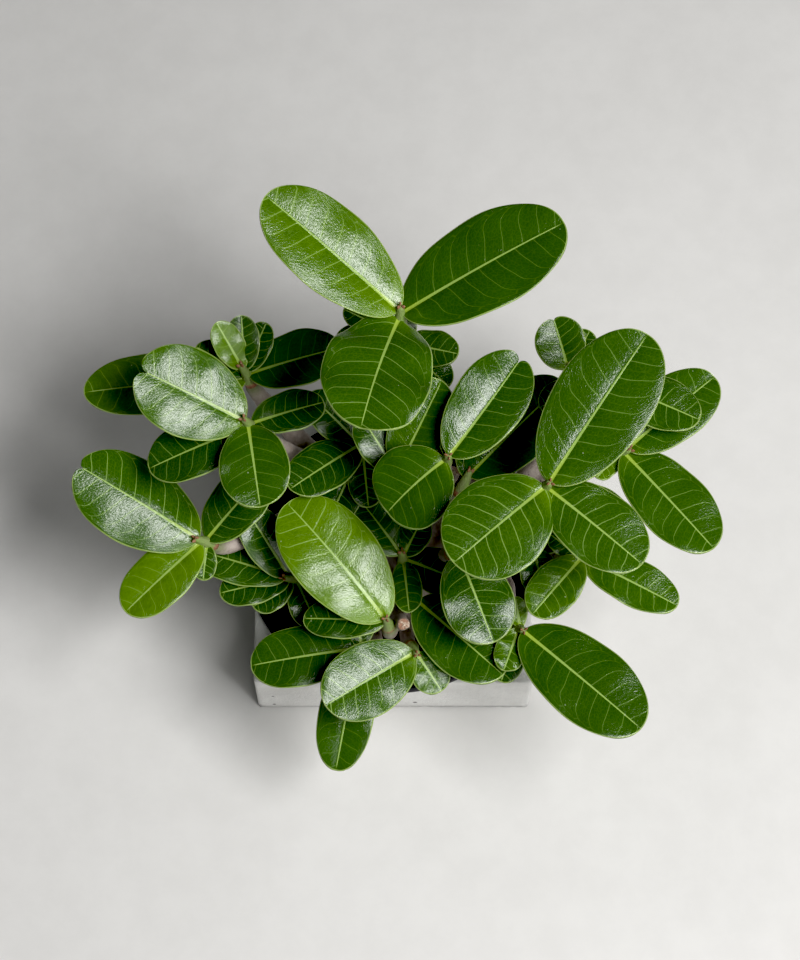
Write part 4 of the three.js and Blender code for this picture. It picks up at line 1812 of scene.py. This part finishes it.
@dataclass
class Caudex:
    """The swollen stem and its branches, which grew as one piece."""

    ground: float = 34.5
    neck: float = 23.4
    root_depth: float = 20
    belly_radius: float = 29
    crown_height: float = 76
    lobes: int = 5
    lobe_depth: float = 0.06
    squeeze: float = 0.04
    sides: int = 48
    limb_steps: int = 26
    stub_steps: int = 6
    end_gap: float = 0.3
    end_run: float = 7
    girth_wobble: float = 0.035
    voxel: float = 1.0
    smoothings: int = 6
    wrinkle_size: float = 3.2
    wrinkle_depth: float = 0.22
    flatten: float = 2.2
    knot_size: float = 5.5
    knot_height: float = 0.8
    knot_rarity: float = 0.25
    sink: float = 0.25
    shade_size: float = 16
    finish: Finish = SmoothBark()

    def belly(self) -> bmesh.types.BMesh:
        """The swollen base, turned and then lobed like old roots above the soil.

        Returns:
            Its mesh in metres.
        """
        ground, belly, neck = self.ground, self.belly_radius, self.neck
        section = [
            (0, ground - self.root_depth),
            (neck * 0.45, ground - self.root_depth),
            (neck * 0.8, ground - self.root_depth * 0.6),
            (neck, ground - self.root_depth * 0.2),
            (neck, ground + 0.6),
            (belly * 0.96, ground + 4),
            (belly, ground + 9),
            (belly * 0.9, ground + 16),
            (belly * 0.68, ground + 24),
            (belly * 0.46, ground + 31),
            (belly * 0.3, self.crown_height - 4),
            (0, self.crown_height),
        ]
        bm = bmesh.new()
        turned(bm, section, self.sides)
        for vert in bm.verts:
            x, y, z = vert.co / MM
            above = smoothstep(z, ground + 0.6, ground + 8)
            angle = math.atan2(y, x)
            lobe = self.lobe_depth * math.cos(self.lobes * angle + 0.8)
            lobe -= self.squeeze * math.cos(2 * angle)
            vert.co.x *= 1 + above * lobe
            vert.co.y *= 1 + above * lobe
        return bm

    def limb_line(self, branch: Branch) -> list[Vector]:
        """The points of a branch, which ends square to its shoot, a gap below it.

        Args:
            branch: the branch.

        Returns:
            Its points in mm.
        """
        rosette = next(r for r in ROSETTES if r.name == branch.to)
        end = rosette.foot - rosette.axis * self.end_gap
        before = end - rosette.axis * self.end_run
        return [Vector(branch.start), *(Vector(p) for p in branch.via), before, end]

    @staticmethod
    def spline(points: list[Vector], steps: int) -> list[Vector]:
        """Draws a smooth curve through points.

        Args:
            points: the points.
            steps: about how many points the curve has.

        Returns:
            Points spaced along the curve.
        """
        lengths = [(b - a).length ** 0.5 for a, b in zip(points, points[1:])]
        padded = [2 * points[0] - points[1], *points, 2 * points[-1] - points[-2]]
        knots = [0.0]
        for length in [lengths[0], *lengths, lengths[-1]]:
            knots.append(knots[-1] + length)
        line = []
        for i in range(len(points) - 1):
            share = max(2, round(steps * lengths[i] / sum(lengths)))
            for k in range(share):
                t = knots[i + 1] + (knots[i + 2] - knots[i + 1]) * k / share
                line.append(catmull_rom(padded[i : i + 4], knots[i : i + 4], t))
        line.append(points[-1].copy())
        return line

    def limb(self, line: list[Vector], radii: Span) -> bpy.types.Mesh:
        """A round limb along a line, thinner at its far end.

        Args:
            line: its points in mm.
            radii: its radius at the start and at the end.

        Returns:
            Its mesh in mm.
        """
        curve = bpy.data.curves.new("limb", "CURVE")
        curve.dimensions = "3D"
        curve.bevel_depth = 1.0
        curve.bevel_resolution = 5
        curve.use_fill_caps = True
        spline = curve.splines.new("POLY")
        last = len(line) - 1
        spline.points.add(last)
        for k, (point, place) in enumerate(zip(spline.points, line)):
            point.co = (*place, 1.0)
            girth = radii[0] + (radii[1] - radii[0]) * math.sqrt(k / last)
            point.radius = girth * (1 + self.girth_wobble * ripple(place, 7, 3))
        mesh = evaluated(curve)
        bpy.data.curves.remove(curve)
        return mesh

    def rough_shape(self) -> tuple[bpy.types.Mesh, list[tuple[Vector, float]]]:
        """The belly and all the limbs as overlapping closed skins.

        Returns:
            The mesh in metres, and points along the limbs, each with its youth from 0 to 1.
        """
        bm = self.belly()
        marks = []
        for branch in BRANCHES:
            line = self.spline(self.limb_line(branch), self.limb_steps)
            self.take_in(bm, self.limb(line, branch.radii))
            last = len(line) - 1
            marks += [(place, k / last) for k, place in enumerate(line)]
        for stub in STUBS:
            line = self.spline([Vector(stub.start), Vector(stub.end)], self.stub_steps)
            self.take_in(bm, self.limb(line, stub.radii))
            marks += [(place, 0.0) for place in line]
        mesh = bpy.data.meshes.new("rough_caudex")
        bm.to_mesh(mesh)
        bm.free()
        return mesh, marks

    @staticmethod
    def take_in(bm: bmesh.types.BMesh, mesh: bpy.types.Mesh) -> None:
        """Adds a limb to the rough shape, and frees it.

        Args:
            bm: the rough shape in metres.
            mesh: the limb in mm.
        """
        mesh.transform(Matrix.Scale(MM, 4))
        bm.from_mesh(mesh)
        bpy.data.meshes.remove(mesh)

    def build(self) -> bpy.types.Object:
        """Welds the skins into one, smooths the forks and adds the bark's relief.

        Returns:
            The piece.
        """
        mesh, marks = self.rough_shape()
        weld = ("REMESH", {"mode": "VOXEL", "voxel_size": self.voxel * MM})
        soften = ("SMOOTH", {"factor": 0.5, "iterations": self.smoothings})
        skin = evaluated(mesh, weld, soften)
        bpy.data.meshes.remove(mesh)
        bm = bmesh.new()
        bm.from_mesh(skin)
        bpy.data.meshes.remove(skin)
        bmesh.ops.recalc_face_normals(bm, faces=bm.faces)
        self.bark(bm, marks)
        piece = finished("caudex_bark", bm, self.finish.material())
        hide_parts("caudex")
        return piece

    def bark(self, bm: bmesh.types.BMesh, marks: list[tuple[Vector, float]]) -> None:
        """Adds wrinkles and knots, and marks young bark and cut faces for the finish.

        Args:
            bm: the welded skin in metres.
            marks: points along the limbs, each with its youth.
        """
        tree = KDTree(len(marks))
        for i, (place, _) in enumerate(marks):
            tree.insert(place, i)
        tree.balance()
        layer = bm.verts.layers.float_vector.new("bark")
        bm.normal_update()
        for vert in bm.verts:
            place = vert.co / MM
            _, i, _ = tree.find(place)
            youth = smoothstep(marks[i][1], 0.80, 1.0) if place.z > self.ground + 20 else 0.0
            shade = 0.5 + 0.5 * ripple(place, self.shade_size, 7)
            vert[layer] = (youth, self.cut_face(place, vert.normal), shade)
            flat = Vector((place.x, place.y, place.z * self.flatten))
            wrinkle = self.wrinkle_depth * ripple(flat, self.wrinkle_size, 8)
            knot = max(0.0, ripple(place, self.knot_size, 9) - self.knot_rarity)
            lift = wrinkle + self.knot_height * knot - self.sink
            vert.co += vert.normal * lift * MM

    @staticmethod
    def cut_face(place: Vector, normal: Vector) -> float:
        """How much a point of the bark belongs to the cut face of a stub.

        Args:
            place: the point in mm.
            normal: the skin's direction there.

        Returns:
            0 for bark and 1 for a cut face.
        """
        cut = 0.0
        for stub in STUBS:
            end = Vector(stub.end)
            axis, off = (end - Vector(stub.start)).normalized(), place - end
            if off.length < stub.radii[1] + 1.5 and off.dot(axis) > -0.9:
                cut = max(cut, smoothstep(normal.dot(axis), 0.45, 0.8))
        return cut


def catmull_rom(points: list[Vector], knots: list[float], t: float) -> Vector:
    """A point of the centripetal curve through four points, between the middle two.

    Args:
        points: four points.
        knots: their four knots.
        t: a knot value between the second and the third.

    Returns:
        The point.
    """

    def between(a: Vector, b: Vector, low: float, high: float) -> Vector:
        """The point at t on the line from a at low to b at high."""
        return a.lerp(b, (t - low) / (high - low))

    p0, p1, p2, p3 = points
    k0, k1, k2, k3 = knots
    a1, a2, a3 = between(p0, p1, k0, k1), between(p1, p2, k1, k2), between(p2, p3, k2, k3)
    b1, b2 = between(a1, a2, k0, k2), between(a2, a3, k1, k3)
    return between(b1, b2, k1, k2)


# ---------------------------------------------------------------- studio


@dataclass(frozen=True)
class SoftBox:
    """An oblong lamp that faces a point of the plant.

    The power follows from its radiance, which is what a glossy leaf mirrors.
    """

    name: str
    place: Point
    width: float
    length: float
    radiance: float
    colour: Colour = (1.0, 1.0, 1.0)
    target: Point = (0.0, 0.0, 0.1)

    def build(self) -> bpy.types.Object:
        """Adds the lamp.

        Returns:
            The lamp.
        """
        light = bpy.data.lights.new(self.name, "AREA")
        light.shape = "RECTANGLE"
        light.size = self.width
        light.size_y = self.length
        light.energy = 4 * self.width * self.length * self.radiance
        light.color = self.colour
        lamp = linked(self.name, light)
        lamp.location = self.place
        aim = Vector(self.target) - Vector(self.place)
        lamp.rotation_euler = aim.to_track_quat("-Z", "Y").to_euler()
        return lamp


@dataclass(frozen=True)
class Studio:
    """The floor, the lamps and the camera. Places are metres."""

    camera_place: Point = (0.0029, -0.365, 1.0243)
    camera_pitch: float = 68.0
    lens: float = 90.0
    floor_size: float = 6.0
    ambient: Colour = (0.97, 0.99, 1.0)
    ambient_strength: float = 0.09
    veil: float = 0.016

    def lamps(self) -> list[SoftBox]:
        """A soft window high at the right, a dim ceiling and a dim front.

        Returns:
            The lamps.
        """
        return [
            SoftBox("window", (0.60, -0.40, 1.29), 0.62, 0.62, 14.4),
            SoftBox("ceiling", (0.15, 0.07, 1.45), 1.1, 1.1, 0.05),
            SoftBox("front_fill", (0.7, -1.15, 0.70), 1.2, 0.9, 1.7),
        ]

    def build(self) -> None:
        """Builds the floor, the ambient light, the lamps and the camera."""
        scene = bpy.context.scene
        self.build_floor()
        world = bpy.data.worlds.new("studio")
        world.use_nodes = True
        backdrop = world.node_tree.nodes["Background"]
        backdrop.inputs["Color"].default_value = (*self.ambient, 1.0)
        backdrop.inputs["Strength"].default_value = self.ambient_strength
        scene.world = world
        for lamp in self.lamps():
            lamp.build()
        scene.camera = self.build_camera()
        self.grade(scene.view_settings)

    def build_floor(self) -> None:
        """A plain floor at z = 0, which is stage and not part of the model."""
        bm = bmesh.new()
        bmesh.ops.create_grid(bm, x_segments=1, y_segments=1, size=self.floor_size / 2)
        mesh = bpy.data.meshes.new("floor")
        bm.to_mesh(mesh)
        bm.free()
        mesh.materials.append(PaleFloor().material())
        floor = linked("floor", mesh)

    def build_camera(self) -> bpy.types.Object:
        """Adds the camera.

        Returns:
            The camera.
        """
        data = bpy.data.cameras.new("camera")
        data.lens = self.lens
        data.clip_start = 0.01
        camera = linked("camera", data)
        camera.location = self.camera_place
        camera.rotation_euler = (math.radians(90 - self.camera_pitch), 0, 0)
        return camera

    def grade(self, view: bpy.types.ColorManagedViewSettings) -> None:
        """Sets plain display colours, with the faint grey veil in the darks taken off.

        Args:
            view: the scene's view settings.
        """
        view.view_transform = "Standard"
        view.use_curve_mapping = True
        view.curve_mapping.black_level = [self.veil] * 3
        view.curve_mapping.update()


# ---------------------------------------------------------------- the whole part


def main() -> None:
    """Builds the studio, the pots, the soil, the stem and every rosette in order."""
    logging.basicConfig(level=logging.INFO, format="%(relativeCreated)7.0f ms  %(message)s")
    Studio().build()
    SquarePlanter().build()
    pot = NurseryPot()
    pot.build()
    soil = Soil(pot)
    soil.build_bed()
    soil.build_crumbs()
    Caudex().build()
    blade_finish, shoot_finish = LeafFinish(), GreenShoot()
    for rosette in ROSETTES:
        rosette.build_blades(blade_finish)
        rosette.build_shoot(shoot_finish)


if __name__ == "__main__":
    main()
